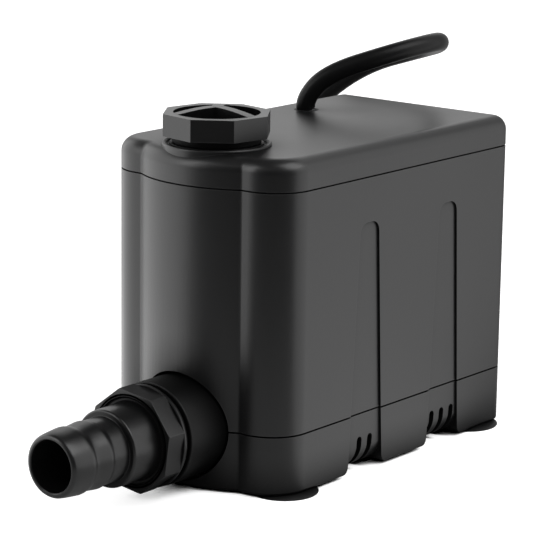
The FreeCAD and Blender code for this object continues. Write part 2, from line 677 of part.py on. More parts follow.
def stator_core():
    """U-shaped stack with two pole arcs round the well."""
    body = block(-LEG_X1, LEG_X1, YOKE_Y0, YOKE_Y1, STACK_Z0, STACK_Z1)
    for sx in (1, -1):
        leg = block(LEG_X0, LEG_X1, ROTOR_Y - 18, YOKE_Y0 + 1, STACK_Z0, STACK_Z1)
        pole = block(5.0, LEG_X1, ROTOR_Y - 18, ROTOR_Y + 18, STACK_Z0, STACK_Z1)
        side = leg.fuse(pole)
        if sx < 0:
            side = side.mirror(V(0, 0, 0), X_AXIS)
        body = body.fuse(side)
    body = body.cut(tube(0, ROTOR_Y, WELL_OUT_R + CURVED_GAP, 40, 100))
    return body.removeSplitter()


def coil_bobbin():
    """Bobbin on the yoke."""
    body = block(-BOBBIN_HALF, BOBBIN_HALF, YOKE_Y0 - 1, YOKE_Y1 + 1, STACK_Z0 - 1, STACK_Z1 + 1)
    for x0 in (-BOBBIN_HALF, BOBBIN_HALF - 1.5):
        body = body.fuse(block(x0, x0 + 1.5, BOBBIN_Y0, BOBBIN_Y1, BOBBIN_Z0, BOBBIN_Z1))
    return body.cut(block(-20, 20, YOKE_Y0, YOKE_Y1, STACK_Z0, STACK_Z1)).removeSplitter()


def coil_winding():
    """Copper winding on the bobbin."""
    half = BOBBIN_HALF - 1.5
    body = block(-half, half, BOBBIN_Y0 + 1, BOBBIN_Y1 - 1, BOBBIN_Z0 + 1, BOBBIN_Z1 - 1)
    return body.cut(block(-20, 20, YOKE_Y0 - 1, YOKE_Y1 + 1, STACK_Z0 - 1, STACK_Z1 + 1))


def thermal_cutout():
    """Small thermal switch on top of the winding."""
    return block(-6, 6, YOKE_Y0 + 2, YOKE_Y1 - 2, BOBBIN_Z1 - 1, BOBBIN_Z1 + 3)


def lead_splices():
    """Three crimped joints between the cord's wires and the winding."""
    parts = []
    for k in range(3):
        x = CORD_ROOT[0] + (k - 1) * 2.2
        wire = tube(x, CORD_ROOT[1], 0.7, 98.0, 106.0)
        crimp = tube(x, CORD_ROOT[1], 1.0, 86.0, 98.0)
        parts.append(wire.fuse(crimp).removeSplitter())
    return Part.Compound(parts)


def motor_case():
    """Open box round the motor."""
    body = block(-CASE_X, CASE_X, CASE_Y0, CASE_Y1, DECK_Z1, CASE_TOP)
    body = body.cut(block(-CASE_X + 2, CASE_X - 2, CASE_Y0 + 2, CASE_Y1 - 2, DECK_Z1 + 2, CASE_TOP + 1))
    return body.cut(tube(0, ROTOR_Y, WELL_OUT_R + CURVED_GAP, 40, 100))


def potting_resin():
    """Resin that fills the case round the motor."""
    body = block(-CASE_X + 2, CASE_X - 2, CASE_Y0 + 2, CASE_Y1 - 2, DECK_Z1 + 2, RESIN_TOP)
    body = body.cut(tube(0, ROTOR_Y, WELL_OUT_R + CURVED_GAP, 40, 100))
    body = body.cut(stator_core())
    body = body.cut(block(-BOBBIN_HALF, BOBBIN_HALF, BOBBIN_Y0, BOBBIN_Y1, BOBBIN_Z0, BOBBIN_Z1))
    body = body.cut(thermal_cutout())
    body = body.cut(block(CORD_ROOT[0] - 3.6, CORD_ROOT[0] + 3.6, CORD_ROOT[1] - 1.4, CORD_ROOT[1] + 1.4, 86.0, 100))
    return body


def cord_gland():
    """Soft grommet that grips the cord in the lid."""
    x, y = CORD_ROOT
    low = LID_TOP - 4.55
    points = [(CORD_D / 2 + 0.05, low), (6.3, low), (6.3, LID_TOP - WALL), (5.1, LID_TOP - WALL),
              (5.1, LID_TOP), (4.8, LID_TOP + 0.15), (CORD_D / 2 + 0.05, LID_TOP + 0.15)]
    return turned(points, x=x, y=y)


def cord_inner():
    """End of the cord inside the pump."""
    return tube(CORD_ROOT[0], CORD_ROOT[1], CORD_D / 2, 106.0, LID_TOP - 0.05)


def tube_along(points, r, name):
    """Round tube along straight runs joined by tangent arcs."""
    stops = [V(*p) for p in points]
    edges = []
    at = stops[0]
    radii = []
    for a, b, c in zip(stops[:-2], stops[1:-1], stops[2:]):
        u = b - a
        v = c - b
        short = min(u.Length, v.Length)
        half = u.getAngle(v) / 2
        u.normalize()
        v.normalize()
        back = 0.45 * short
        radius = back / math.tan(half)
        start = b - u * back
        end = b + v * back
        inward = v - u * u.dot(v)
        inward.normalize()
        centre = start + inward * radius
        outward = b - centre
        outward.normalize()
        middle = centre + outward * radius
        edges.append(Part.makeLine(at, start))
        edges.append(Part.Arc(start, middle, end).toShape())
        radii.append(round(radius, 1))
        at = end
    edges.append(Part.makeLine(at, stops[-1]))
    path = Part.Wire(edges)
    first = stops[1] - stops[0]
    ring = Part.Wire(Part.makeCircle(r, stops[0], first))
    solid = path.makePipeShell([ring], True, False)
    length = sum(e.Length for e in edges)
    print(name, "length", round(length, 1), "radii", radii, "section x length", round(math.pi * r * r * length, 1))
    return solid


def tail_route():
    """Route of the last bit of the cord, from the coil to the plug."""
    turn = math.radians(TAIL_TURN)
    outer = COIL_OUT_R - CORD_D / 2
    x = COIL_X + outer * math.cos(turn)
    y = COIL_Y + outer * math.sin(turn)
    points = [(x, y, TAIL_RISE[0])]
    for heading, z in zip(TAIL_HEADINGS, TAIL_RISE[1:]):
        way = math.radians(heading)
        x += TAIL_RUN * math.cos(way)
        y += TAIL_RUN * math.sin(way)
        points.append((x, y, z))
    return points


def cord_tie():
    """Strap round the coil."""
    x0 = COIL_X - COIL_OUT_R - 1.0
    x1 = COIL_X - COIL_IN_R + 1.0
    outer = block(x0, x1, COIL_Y - 4, COIL_Y + 4, 0, COIL_H + 1.0)
    return outer.cut(block(x0 + 1.0, x1 - 1.0, COIL_Y - 5, COIL_Y + 5, 1.0, COIL_H))


def power_cord_coil():
    """Outer shape of the coiled cord."""
    r = CORD_D / 2
    points = []
    for cx, cz, a0 in ((COIL_OUT_R - r, r, 270), (COIL_OUT_R - r, COIL_H - r, 0),
                       (COIL_IN_R + r, COIL_H - r, 90), (COIL_IN_R + r, r, 180)):
        for k in range(0, 91, 15):
            turn = math.radians(a0 + k)
            points.append((cx + r * math.cos(turn), cz + r * math.sin(turn)))
    ring = turned(points, x=COIL_X, y=COIL_Y)
    return ring.cut(cord_tie())


def on_plug(shape):
    """Move a shape from its own frame to the end of the cord."""
    end = tail_route()[-1]
    shape.rotate(V(0, 0, 0), Z_AXIS, TAIL_HEADINGS[-1])
    shape.translate(V(end[0], end[1], 0))
    return shape


def plug_body():
    """Moulded plug with a tapered strain relief, lying on the floor."""
    relief = Part.makeCone(CORD_D / 2 + 1.0, 8.0, RELIEF_LENGTH + 1.0, V(0, 0, PLUG_Z), X_AXIS)
    body = block(RELIEF_LENGTH, RELIEF_LENGTH + PLUG_LENGTH, -PLUG_W / 2, PLUG_W / 2, 0, PLUG_H)
    side = [e for e in body.Edges if abs(e.Vertexes[0].Point.x - e.Vertexes[1].Point.x) > 1]
    body = body.makeFillet(5.0, side)
    return on_plug(body.fuse(relief).removeSplitter())


def plug_blades():
    """Two flat blades and the round ground pin."""
    x0 = RELIEF_LENGTH + PLUG_LENGTH
    parts = [block(x0, x0 + 16.5, 6.35 - 0.75, 6.35 + 0.75, 4.4, 10.7)]
    parts.append(block(x0, x0 + 16.5, -6.35 - 0.75, -6.35 + 0.75, 4.4, 10.7))
    pin = Part.makeCylinder(2.4, 16.0, V(x0, 0, 19.4), X_AXIS)
    tip = Part.makeCone(2.4, 1.2, 2.0, V(x0 + 16.0, 0, 19.4), X_AXIS)
    parts.append(pin.fuse(tip).removeSplitter())
    return on_plug(Part.Compound(parts))


save(strainer_base(), "strainer_base")
for label, sx, cup_y in (("front_right", 1, CUP_YS[0]), ("front_left", -1, CUP_YS[0]),
                         ("rear_right", 1, CUP_YS[1]), ("rear_left", -1, CUP_YS[1])):
    save(suction_cup(sx * CUP_X, cup_y), "suction_cup_" + label)
save(main_housing(), "main_housing")
save(top_lid(), "top_lid")
save(lid_seal(), "lid_seal")
save(lid_screws(), "lid_screws")
save(top_port_cap(), "top_port_cap")
save(top_port_gasket(), "top_port_gasket")
save(riser_pipe(), "riser_pipe")
save(riser_seal(), "riser_seal")
save(discharge_manifold(), "discharge_manifold")
save(hose_barb(), "hose_barb")
save(hose_barb_gasket(), "hose_barb_gasket")
save(impeller_chamber(), "impeller_chamber")
save(chamber_cover(), "chamber_cover")
save(chamber_cover_seal(), "chamber_cover_seal")
save(chamber_cover_screws(), "chamber_cover_screws")
save(impeller(), "impeller")
save(rotor_magnet(), "rotor_magnet")
save(rotor_shaft(), "rotor_shaft")
save(lower_bushing(), "lower_bushing")
save(upper_bushing(), "upper_bushing")
save(rotor_well(), "rotor_well")
save(stator_core(), "stator_core")
save(coil_bobbin(), "coil_bobbin")
save(coil_winding(), "coil_winding")
save(thermal_cutout(), "thermal_cutout")
save(lead_splices(), "lead_splices")
save(motor_case(), "motor_case")
save(potting_resin(), "potting_resin")
save(cord_gland(), "cord_gland")
save(cord_inner(), "cord_inner")
save(tube_along(CORD_ROUTE, CORD_D / 2, "power_cord_run"), "power_cord_run")
save(power_cord_coil(), "power_cord_coil")
save(tube_along(tail_route(), CORD_D / 2, "power_cord_tail"), "power_cord_tail")
save(cord_tie(), "cord_tie")
save(plug_body(), "plug_body")
save(plug_blades(), "plug_blades")
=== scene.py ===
"""Submersible water pump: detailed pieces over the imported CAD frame, and the stage.

Pieces are laid out in millimetres and become metres as their meshes are made. Camera,
floor and lamps are in metres. The frame is the CAD model's: +Z up, the hose barb points
to -Y, and the origin is at floor level under the middle of the pump's length.
"""

import math

import bmesh
import bpy
from bpy.props import FloatProperty, FloatVectorProperty, PointerProperty
from mathutils import Matrix, Vector


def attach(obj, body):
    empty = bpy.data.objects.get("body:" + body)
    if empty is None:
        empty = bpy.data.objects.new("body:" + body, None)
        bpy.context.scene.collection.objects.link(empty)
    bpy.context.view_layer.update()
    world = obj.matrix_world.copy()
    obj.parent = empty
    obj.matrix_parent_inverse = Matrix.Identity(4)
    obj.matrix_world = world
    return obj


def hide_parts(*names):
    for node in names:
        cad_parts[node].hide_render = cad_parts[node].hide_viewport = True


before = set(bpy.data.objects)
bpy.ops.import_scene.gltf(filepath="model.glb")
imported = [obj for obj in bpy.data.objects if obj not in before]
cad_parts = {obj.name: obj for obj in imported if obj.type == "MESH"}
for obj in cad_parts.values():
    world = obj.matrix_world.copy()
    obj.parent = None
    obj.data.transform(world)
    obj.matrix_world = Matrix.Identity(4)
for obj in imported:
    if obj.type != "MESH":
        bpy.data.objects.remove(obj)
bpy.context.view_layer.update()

bl_info = {
    "name": "Submersible water pump",
    "version": (1, 0, 0),
    "blender": (4, 5, 0),
    "location": "View3D > Sidebar > Pump",
    "description": "Builds a submersible water pump with its cord and a plain studio",
    "category": "Object",
}

MM = 0.001
ON_AXIS = 1e-6
CORNER_STEPS = 3

# Plan outline of the pump
HALF = 45.0
BACK_Y = 116.9
BACK_R = 6.3
FRONT_R = 16.5
FRONT_CORNER_Y = -21.7
FRONT_CORNER_X = HALF - FRONT_R
SHOULDER_Y = FRONT_CORNER_Y - FRONT_R
NOSE_BULGE = 7.45
BLEND_R = 3.0
NOSE_HALF = 26.14
BLEND_CY = SHOULDER_Y - BLEND_R
NOSE_R = (NOSE_HALF ** 2 + (BLEND_R - NOSE_BULGE) ** 2 - BLEND_R ** 2) / (2 * NOSE_BULGE)
NOSE_CY = SHOULDER_Y - NOSE_BULGE + NOSE_R

# Heights, and the thickness of the walls
BASE_Z0 = 1.2
BASE_ROUND = 1.0
AXIS_Z = 24.4
PART_Z = 24.8
SEAM_RISE = 0.2
SEAM_DEPTH = 1.8
BASE_Z1 = 24.65
HOUSING_Z0 = 24.95
DECK_Z0 = 38.3
DECK_Z1 = 41.3
HOUSING_Z1 = 120.4
LID_Z0 = 120.8
LID_Z1 = 133.25
LID_ROUND = 6.0
WALL = 2.5
LID_WALL = WALL + 1.7

# Recesses and slots
RECESS_YS = (18.1, 71.7)
RECESS_DEPTH = 0.85
RECESS_TOP = 102.6
RECESS_HALF = 10.0
RECESS_SLOPE = 0.049
RECESS_CORNER_R = 4.5
RECESS_REACH = 18.0
FOOT_FLARE = 3.6
UNDER_R = 10.8
SLOT_ROWS = ((18.7, 2), (72.1, 3))
SLOT_W = 3.2
SLOT_TOP = 15.1
SLOT_PITCH = 6.9
SLOT_LEAN = 0.09
SLOT_SIDES = ((34.0, 47.0), (-47.0, -34.0))
UNDERCUT_X = (30.0, 52.0)
ROOM_SPAN_Y = (-60.0, 140.0)

# Ports, cups and screws
PORT_Y = -22.6
PORT_BORE_R = 10.5
PORT_HOLE_R = 18.0
PASSAGE_R = 13.5
ROTOR_Y = 28.8
MOTOR_HOLE_R = 16.8
BOSS_HOLE_R = 22.0
BOSS_HOLE_FRONT = -62.0
BOSS_HOLE_END = SHOULDER_Y + 0.9
COLLAR_R = 20.9
COLLAR_TURN = 15.0
COLLAR_Z0 = 64.3
COLLAR_Z1 = 73.0
CUP_X = 35.4
CUP_YS = (-22.1, 102.9)
CUP_HOLE_R = 3.25
CUP_ROOM_R = 5.2
PILLARS = ((37.5, 108.9), (-37.5, 108.9), (33.0, -13.0), (-33.0, -13.0))
PILLAR_R = 4.5
SCREW_HOLE_R = 1.9

# Cap of the top port
CAP_Z0 = 137.35
CAP_Z1 = 146.1
CAP_R = 21.9
CAP_OPEN_R = 17.0
CAP_TURN = 12.5
POCKET_R = 12.6
POCKET_Z0 = 126.5
CAP_PLUG_R = 15.1
CAP_PLUG_Z0 = 124.0
RIB_TURNS = (1.0, 121.0, 241.0)
RIB_HALF = 2.25
RIB_RISE = 2.2

# Cord: its free stretch, the coil and the way to the plug
CORD_ROUTE = [
    (-26.2, 67.5, 133.2), (-27.0, 66.3, 136.8), (-19.8, 72.1, 148.6),
    (1.6, 89.3, 157.7), (7.8, 115.0, 161.1), (-3.5, 132.1, 156.9),
    (-23.1, 147.9, 151.4), (-51.6, 139.4, 141.9), (-73.6, 126.3, 120.0),
    (-70.0, 129.2, 84.0), (-74.3, 129.7, 56.0), (-83.5, 132.0, 33.0),
    (-99.0, 135.0, 20.5)]
CORD_ROOT = CORD_ROUTE[0][:2]
GROMMET_HOLE_R = 5.2
COIL_X = -85.0
COIL_Y = 176.7
COIL_START = 251.4
COIL_END = 78.0
COIL_PLACES = ((44, 20), (36, 20), (36, 12), (44, 12), (36, 4), (44, 4), (44, 4))
COIL_WHOLE_TURNS = 5
COIL_STEPS = 20
COIL_SHIFT = 0.12
COIL_WIDEN = 1.008
TAIL_RUN = 18.0
TAIL_HEADINGS = (-12.0, -27.0, -43.0, -60.0)
TAIL_RISE = (5.2, 9.0, 13.0, 13.0)
CORD_INTO_PLUG = 6.0

# Strap round the coil: its section, measured from the coil's middle
TIE_X0 = -49.0
TIE_X1 = -31.0
TIE_Z1 = 25.0
TIE_R = 2.5
TIE_WALL = 1.0
TIE_HALF = 4.0

# Plug, in its own frame: +X away from the cord
PLUG_SIDES = 40
PLUG_SQUARENESS = 0.55
CORD_IN_PLUG_Z = 13.0
BLADE_Y = 6.35
BLADE_HALF = 0.75
PIN_Z = 19.4

# Finish of the materials; a wave texture of scale 1 repeats after WAVE_PERIOD metres
WAVE_PERIOD = 0.314
CLOUD_SCALE = 22.0
GLOSS_SPREAD = 0.035
BUMP_HEIGHT = 0.0004
# Reach of the painted shade that dims reflections in crevices and near the floor
CREVICE_SHADE_REACH = 0.018
# Pale rubbed edges, partly a painted highlight: reach, gain and lift of the paler colour
WEAR_HIGHLIGHT_REACH = 0.0006
WEAR_HIGHLIGHT_GAIN = 3
WEAR_HIGHLIGHT_LIFT = 0.012

# Floor and cards, in metres
FLOOR_HALF = 6.0
FLOOR_Z = -0.0002
FLOOR_TONE = 0.75
FLOOR_GLOW = 0.78
# Reach of the floor's painted contact shadow
FLOOR_SHADE_REACH = 0.012
TOP_CARD_Z = 1.6
CARD_MIDDLE_Y = -0.022
CARD_ROWS = ((0.0, 0.0002), (0.4, 0.0002), (1.5, 0.0002), (1.5, 1.2))
CARD_STEPS = 12
CARD_NEAR = 0.2
CARD_FAR = 0.55
# Reach of the painted shade on the cards
CARD_SHADE_REACH = 0.05


class PumpLook(bpy.types.PropertyGroup):
    """Colours and finish of the pump's surfaces."""

    shell_color: FloatVectorProperty(
        name="Shell colour", description="Moulded plastic of housing and lid",
        subtype="COLOR", size=3, min=0, max=1, default=(0.0060, 0.0060, 0.0063))
    base_color: FloatVectorProperty(
        name="Base colour", description="Moulded plastic of the strainer base",
        subtype="COLOR", size=3, min=0, max=1, default=(0.0055, 0.0055, 0.0057))
    fitting_color: FloatVectorProperty(
        name="Fitting colour", description="Plastic of cap and barb; the boss is half as bright",
        subtype="COLOR", size=3, min=0, max=1, default=(0.0050, 0.0050, 0.0052))
    rubber_color: FloatVectorProperty(
        name="Rubber colour", description="Cups, gaskets and grommet",
        subtype="COLOR", size=3, min=0, max=1, default=(0.0050, 0.0050, 0.0052))
    cord_color: FloatVectorProperty(
        name="Cord colour", description="Jacket of the cord and the plug",
        subtype="COLOR", size=3, min=0, max=1, default=(0.0045, 0.0045, 0.0047))
    shell_roughness: FloatProperty(
        name="Shell roughness", description="Satin finish of the shell",
        min=0, max=1, default=0.35)
    grain: FloatProperty(
        name="Grain", description="Height of the fine moulded grain",
        min=0, max=1, default=0.05)


class CordShape(bpy.types.PropertyGroup):
    """Sizes of the power cord."""

    diameter: FloatProperty(
        name="Diameter", description="Thickness of the jacket",
        unit="LENGTH", min=0.004, max=0.012, default=0.008)
    length: FloatProperty(
        name="Length", description="Real length of the cord up to its plug",
        unit="LENGTH", min=0.5, max=10, default=1.8)


class StageSetup(bpy.types.PropertyGroup):
    """Camera and light of the plain studio."""

    camera_place: FloatVectorProperty(
        name="Camera", description="Where the camera stands",
        subtype="TRANSLATION", unit="LENGTH", size=3, default=(0.62504, -0.76977, 0.30764))
    azimuth: FloatProperty(
        name="Azimuth", description="Camera direction about the upright axis, in degrees",
        default=38.736)
    elevation: FloatProperty(
        name="Elevation", description="Camera height angle, in degrees", default=12.886)
    roll: FloatProperty(
        name="Roll", description="Camera roll, in degrees", default=0.776)
    lens: FloatProperty(
        name="Lens", description="Focal length in millimetres on a 36 mm sensor",
        min=20, max=400, default=171.66)
    key_power: FloatProperty(
        name="Key light", description="Power of the large soft light",
        unit="POWER", min=0, default=9.0)
    fill_power: FloatProperty(
        name="Fill light", description="Power of the soft light on the front",
        unit="POWER", min=0, default=3.0)
    lid_power: FloatProperty(
        name="Lid light", description="Power of the low light behind the lid",
        unit="POWER", min=0, default=0.2)
    world_strength: FloatProperty(
        name="Surrounding light", description="Strength of the even light from all round",
        min=0, default=0.55)
    left_card: FloatProperty(
        name="Left card", description="Brightness of the card at the front left",
        min=0, default=2.0)
    right_card: FloatProperty(
        name="Right card", description="Brightness of the card at the right",
        min=0, default=1.4)


def look():
    """The scene's finish settings."""
    return bpy.context.scene.pump_look


# Shader nodes

def feed(tree, node, inputs):
    """Give a node's inputs their values, or link them where an output socket is given."""
    for key, value in inputs.items():
        if isinstance(value, bpy.types.NodeSocket):
            tree.links.new(value, node.inputs[key])
        else:
            node.inputs[key].default_value = value


def add_node(tree, kind, inputs=None, **settings):
    """New shader node with its settings and inputs."""
    node = tree.nodes.new("ShaderNode" + kind)
    for key, value in settings.items():
        setattr(node, key, value)
    feed(tree, node, inputs or {})
    return node


def noise(tree, place, scale, detail):
    """Soft random factor."""
    return add_node(tree, "TexNoise", {"Vector": place, "Scale": scale, "Detail": detail}).outputs["Fac"]


def color_ramp(tree, factor, low, high, start=0.0, end=1.0):
    """Colour that runs from low to high as the factor runs from start to end."""
    ramp = add_node(tree, "ValToRGB", {"Fac": factor})
    for stop, color, position in zip(ramp.color_ramp.elements, (low, high), (start, end)):
        stop.position = position
        stop.color = (*color, 1)
    return ramp.outputs["Color"]


def product(tree, a, b):
    """One factor times another."""
    return add_node(tree, "Math", {0: a, 1: b}, operation="MULTIPLY").outputs[0]


def remap(tree, factor, low=0.0, high=1.0, to_low=0.0, to_high=1.0):
    """Factor carried over from one range to another and held inside it."""
    return add_node(tree, "MapRange", {
        "Value": factor, "From Min": low, "From Max": high, "To Min": to_low,
        "To Max": to_high}).outputs["Result"]


def nearness(tree, reach, low, high, least=0.0):
    """Factor that falls from 1 where other surfaces close in on this one."""
    near = add_node(tree, "AmbientOcclusion", {"Distance": reach}).outputs["AO"]
    return remap(tree, near, low, high, least)


def worn_highlit_edges(tree, unshaded_part):
    """Factor that rises to 1 on sharp outer edges: rubbed edges that are partly a painted highlight."""
    blunt = add_node(tree, "Bevel", {"Radius": WEAR_HIGHLIGHT_REACH}, samples=4).outputs["Normal"]
    sharp = add_node(tree, "NewGeometry").outputs["Normal"]
    turn = add_node(tree, "VectorMath", {0: blunt, 1: sharp}, operation="DOT_PRODUCT").outputs["Value"]
    return product(tree, remap(tree, turn, 0.98, 0.85), unshaded_part)


def mix_seen(tree, even, seen, output):
    """Show one shader to the lens and to reflections, and another to the rest."""
    rays = add_node(tree, "LightPath").outputs
    shown = rays["Is Camera Ray"]
    for other in ("Is Glossy Ray", "Is Transmission Ray"):
        shown = add_node(tree, "Math", {0: shown, 1: rays[other]}, operation="MAXIMUM").outputs[0]
    mix = add_node(tree, "MixShader", {0: shown, 1: even.outputs[0], 2: seen.outputs[0]})
    feed(tree, output, {"Surface": mix.outputs[0]})


# Materials

def new_material(name):
    """Node material and its tree."""
    made = bpy.data.materials.new(name)
    made.use_nodes = True
    return made, made.node_tree


def kept(build):
    """Let a builder make the material of a name once only."""
    def find(name, *values, **named):
        return bpy.data.materials.get(name) or build(name, *values, **named)
    return find


def dress(tree, height, strength, depth, inputs):
    """Give the main shader its inputs and a bump."""
    bump = add_node(tree, "Bump", {"Height": height, "Strength": strength, "Distance": depth})
    feed(tree, tree.nodes["Principled BSDF"], {**inputs, "Normal": bump.outputs["Normal"]})


@kept
def plastic(name, color, roughness, grain=0.05, scale=900.0, mottle=0.12, specular=0.5):
    """Moulded plastic or rubber: fine grain, faint mottling, uneven gloss, pale rubbed edges that are
    partly a painted highlight, and painted shade that dims reflections in crevices and near the floor.
    """
    made, tree = new_material(name)
    # Painted shade: reflections dim where other surfaces or the floor come close.
    unshaded_part = nearness(tree, CREVICE_SHADE_REACH, low=0.5, high=1.0, least=0.12)
    place = add_node(tree, "TexCoord").outputs["Object"]
    cloud = noise(tree, place, CLOUD_SCALE, 4.0)
    fine = noise(tree, place, scale, 3.0)
    dark = [c * (1 - mottle) for c in color]
    pale = [c * (1 + mottle) for c in color]
    # Sharp outer edges turn paler: rubbed plastic, partly a painted highlight.
    worn_and_lit_tone = [WEAR_HIGHLIGHT_GAIN * c + WEAR_HIGHLIGHT_LIFT for c in color]
    tint = color_ramp(tree, cloud, dark, pale, start=0.3, end=0.7)
    edges = worn_highlit_edges(tree, unshaded_part)
    wear_and_highlight = add_node(tree, "Mix", {"Factor": edges, "A": tint, "B": (*worn_and_lit_tone, 1)}, data_type="RGBA")
    gloss = remap(tree, cloud, to_low=roughness - GLOSS_SPREAD, to_high=roughness + GLOSS_SPREAD)
    dress(tree, fine, grain, BUMP_HEIGHT, {
        "Base Color": wear_and_highlight.outputs["Result"], "Roughness": gloss,
        "Specular IOR Level": product(tree, unshaded_part, specular)})
    return made


@kept
def metal(name, color, roughness):
    """Brushed or drawn metal, with streaks along one way."""
    made, tree = new_material(name)
    place = add_node(tree, "TexCoord").outputs["Object"]
    stretch = add_node(tree, "Mapping", {"Vector": place, "Scale": (60.0, 60.0, 900.0)}).outputs["Vector"]
    streaks = noise(tree, stretch, 4.0, 5.0)
    dark = [c * 0.8 for c in color]
    pale = [min(1.0, c * 1.12) for c in color]
    gloss = remap(tree, streaks, to_low=roughness - 0.06, to_high=roughness + 0.08)
    tint = color_ramp(tree, streaks, dark, pale)
    dress(tree, streaks, 0.15, 0.0003, {"Metallic": 1.0, "Base Color": tint, "Roughness": gloss})
    return made


@kept
def banded(name, low, high, period, roughness, metallic):
    """Stacked sheets or wound wire: fine parallel bands along z."""
    made, tree = new_material(name)
    place = add_node(tree, "TexCoord").outputs["Object"]
    bands = add_node(tree, "TexWave", {
        "Vector": place, "Scale": WAVE_PERIOD / period, "Distortion": 0.4},
        bands_direction="Z").outputs["Fac"]
    dress(tree, bands, 0.5, period * 0.4, {
        "Metallic": metallic, "Roughness": roughness, "Base Color": color_ramp(tree, bands, low, high)})
    return made


def shell_plastic():
    """Satin plastic of the housing and the lid."""
    return plastic("shell plastic", look().shell_color, look().shell_roughness, look().grain)


def base_plastic():
    """Satin plastic of the base."""
    return plastic("base plastic", look().base_color, look().shell_roughness + 0.02, look().grain)


def fitting_plastic():
    """Satin plastic of cap and barb."""
    return plastic("fitting plastic", look().fitting_color, look().shell_roughness - 0.04, look().grain)


def shaded_boss_plastic():
    """Darker copy of the fitting plastic for the outlet boss, as painted shade; its higher roughness makes
    it duller.
    """
    # Painted shade: half the fitting colour and weaker reflections stand in for the shade on the boss.
    color = [0.5 * c for c in look().fitting_color]
    return plastic("boss plastic", color, 0.46, look().grain, specular=0.25)


def soft_rubber():
    """Rubber of cups, gaskets and grommet."""
    return plastic("soft rubber", look().rubber_color, 0.52, 0.08, 1200.0)


def cord_jacket():
    """Jacket of the cord."""
    return plastic("cord jacket", look().cord_color, 0.38, 0.04, 1500.0, specular=0.17)


# Mesh helpers

def placed(name, data):
    """Object in the scene that holds a mesh, a curve, a camera or a lamp."""
    holder = bpy.data.objects.new(name, data)
    bpy.context.scene.collection.objects.link(holder)
    return holder


def new_piece(name, data, body, material, slot, *replaced):
    """Object from a mesh or curve, riding a body and standing for CAD nodes."""
    piece = placed(name, data)
    data.materials.clear()
    data.materials.append(material)
    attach(piece, body)
    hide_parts(*replaced)
    return piece


def poured(bm, name):
    """Mesh from a bmesh as it is; the bmesh goes."""
    mesh = bpy.data.meshes.new(name)
    bm.to_mesh(mesh)
    bm.free()
    return mesh


def to_mesh(bm, name):
    """Mesh from a bmesh given in millimetres."""
    bmesh.ops.recalc_face_normals(bm, faces=bm.faces)
    bmesh.ops.scale(bm, vec=(MM, MM, MM), verts=bm.verts)
    return poured(bm, name)


def moved(bm, x, y, z=0.0):
    """Shift a body and hand it back."""
    bmesh.ops.translate(bm, vec=(x, y, z), verts=bm.verts)
    return bm


def quarter_turned(bm, axis):
    """Turn a body by 90 degrees about an axis through the origin and hand it back."""
    turn = Matrix.Rotation(math.radians(90), 3, axis)
    bmesh.ops.rotate(bm, cent=(0, 0, 0), matrix=turn, verts=bm.verts)
    return bm


def lay_along_y(bm):
    """Turn a body made about +z so that its +z points to -Y from the outlet's axis."""
    return moved(quarter_turned(bm, "X"), 0, 0, AXIS_Z)


def skin_between(bm, low, high, wrap=True):
    """Four-sided faces between two rows of corners of one length."""
    count = len(low)
    for k in range(count if wrap else count - 1):
        n = (k + 1) % count
        bm.faces.new((low[k], low[n], high[n], high[k]))


def stacked(rings):
    """Closed body from rows of points of one length, with flat ends."""
    bm = bmesh.new()
    rows = [[bm.verts.new(point) for point in ring] for ring in rings]
    for low, high in zip(rows, rows[1:]):
        skin_between(bm, low, high)
    bm.faces.new(list(reversed(rows[0])))
    bm.faces.new(rows[-1])
    return bm


def turn_points(points, segments=96):
    """Closed ring body from (radius, height) points about z, in millimetres."""
    bm = bmesh.new()
    rings = []
    for r, z in points:
        if r < ON_AXIS:
            rings.append([bm.verts.new((0, 0, z))])
            continue
        ring = []
        for k in range(segments):
            a = 2 * math.pi * k / segments
            ring.append(bm.verts.new((r * math.cos(a), r * math.sin(a), z)))
        rings.append(ring)
    pairs = list(zip(rings, rings[1:]))
    if len(rings[0]) > 1 and len(rings[-1]) > 1:
        pairs.append((rings[-1], rings[0]))
    for low, high in pairs:
        if len(low) == len(high):
            skin_between(bm, low, high)
            continue
        for k in range(segments):
            n = (k + 1) % segments
            if len(low) == 1:
                bm.faces.new((low[0], high[k], high[n]))
            else:
                bm.faces.new((low[k], low[n], high[0]))
    return bm


def rounded(points, radius):
    """The same closed (radius, height) outline with its corners rounded."""
    out = []
    count = len(points)
    for k in range(count):
        a = Vector(points[k - 1])
        b = Vector(points[k])
        c = Vector(points[(k + 1) % count])
        back = min(radius, (a - b).length * 0.45, (c - b).length * 0.45)
        if b.x < ON_AXIS or back < 1e-4:
            out.append(tuple(b))
            continue
        p = b + (a - b).normalized() * back
        q = b + (c - b).normalized() * back
        for s in range(CORNER_STEPS + 1):
            t = s / CORNER_STEPS
            out.append(tuple((1 - t) ** 2 * p + 2 * t * (1 - t) * b + t ** 2 * q))
    return out


def arc_points(x, y, r, a0, a1, steps):
    """Points of an arc, ends included."""
    out = []
    for k in range(steps + 1):
        a = math.radians(a0 + (a1 - a0) * k / steps)
        out.append((x + r * math.cos(a), y + r * math.sin(a)))
    return out


def regular_points(x, y, r, sides, start=0.0):
    """Corners of a regular outline, with many sides a circle."""
    return arc_points(x, y, r, start, start + 360 - 360 / sides, sides - 1)


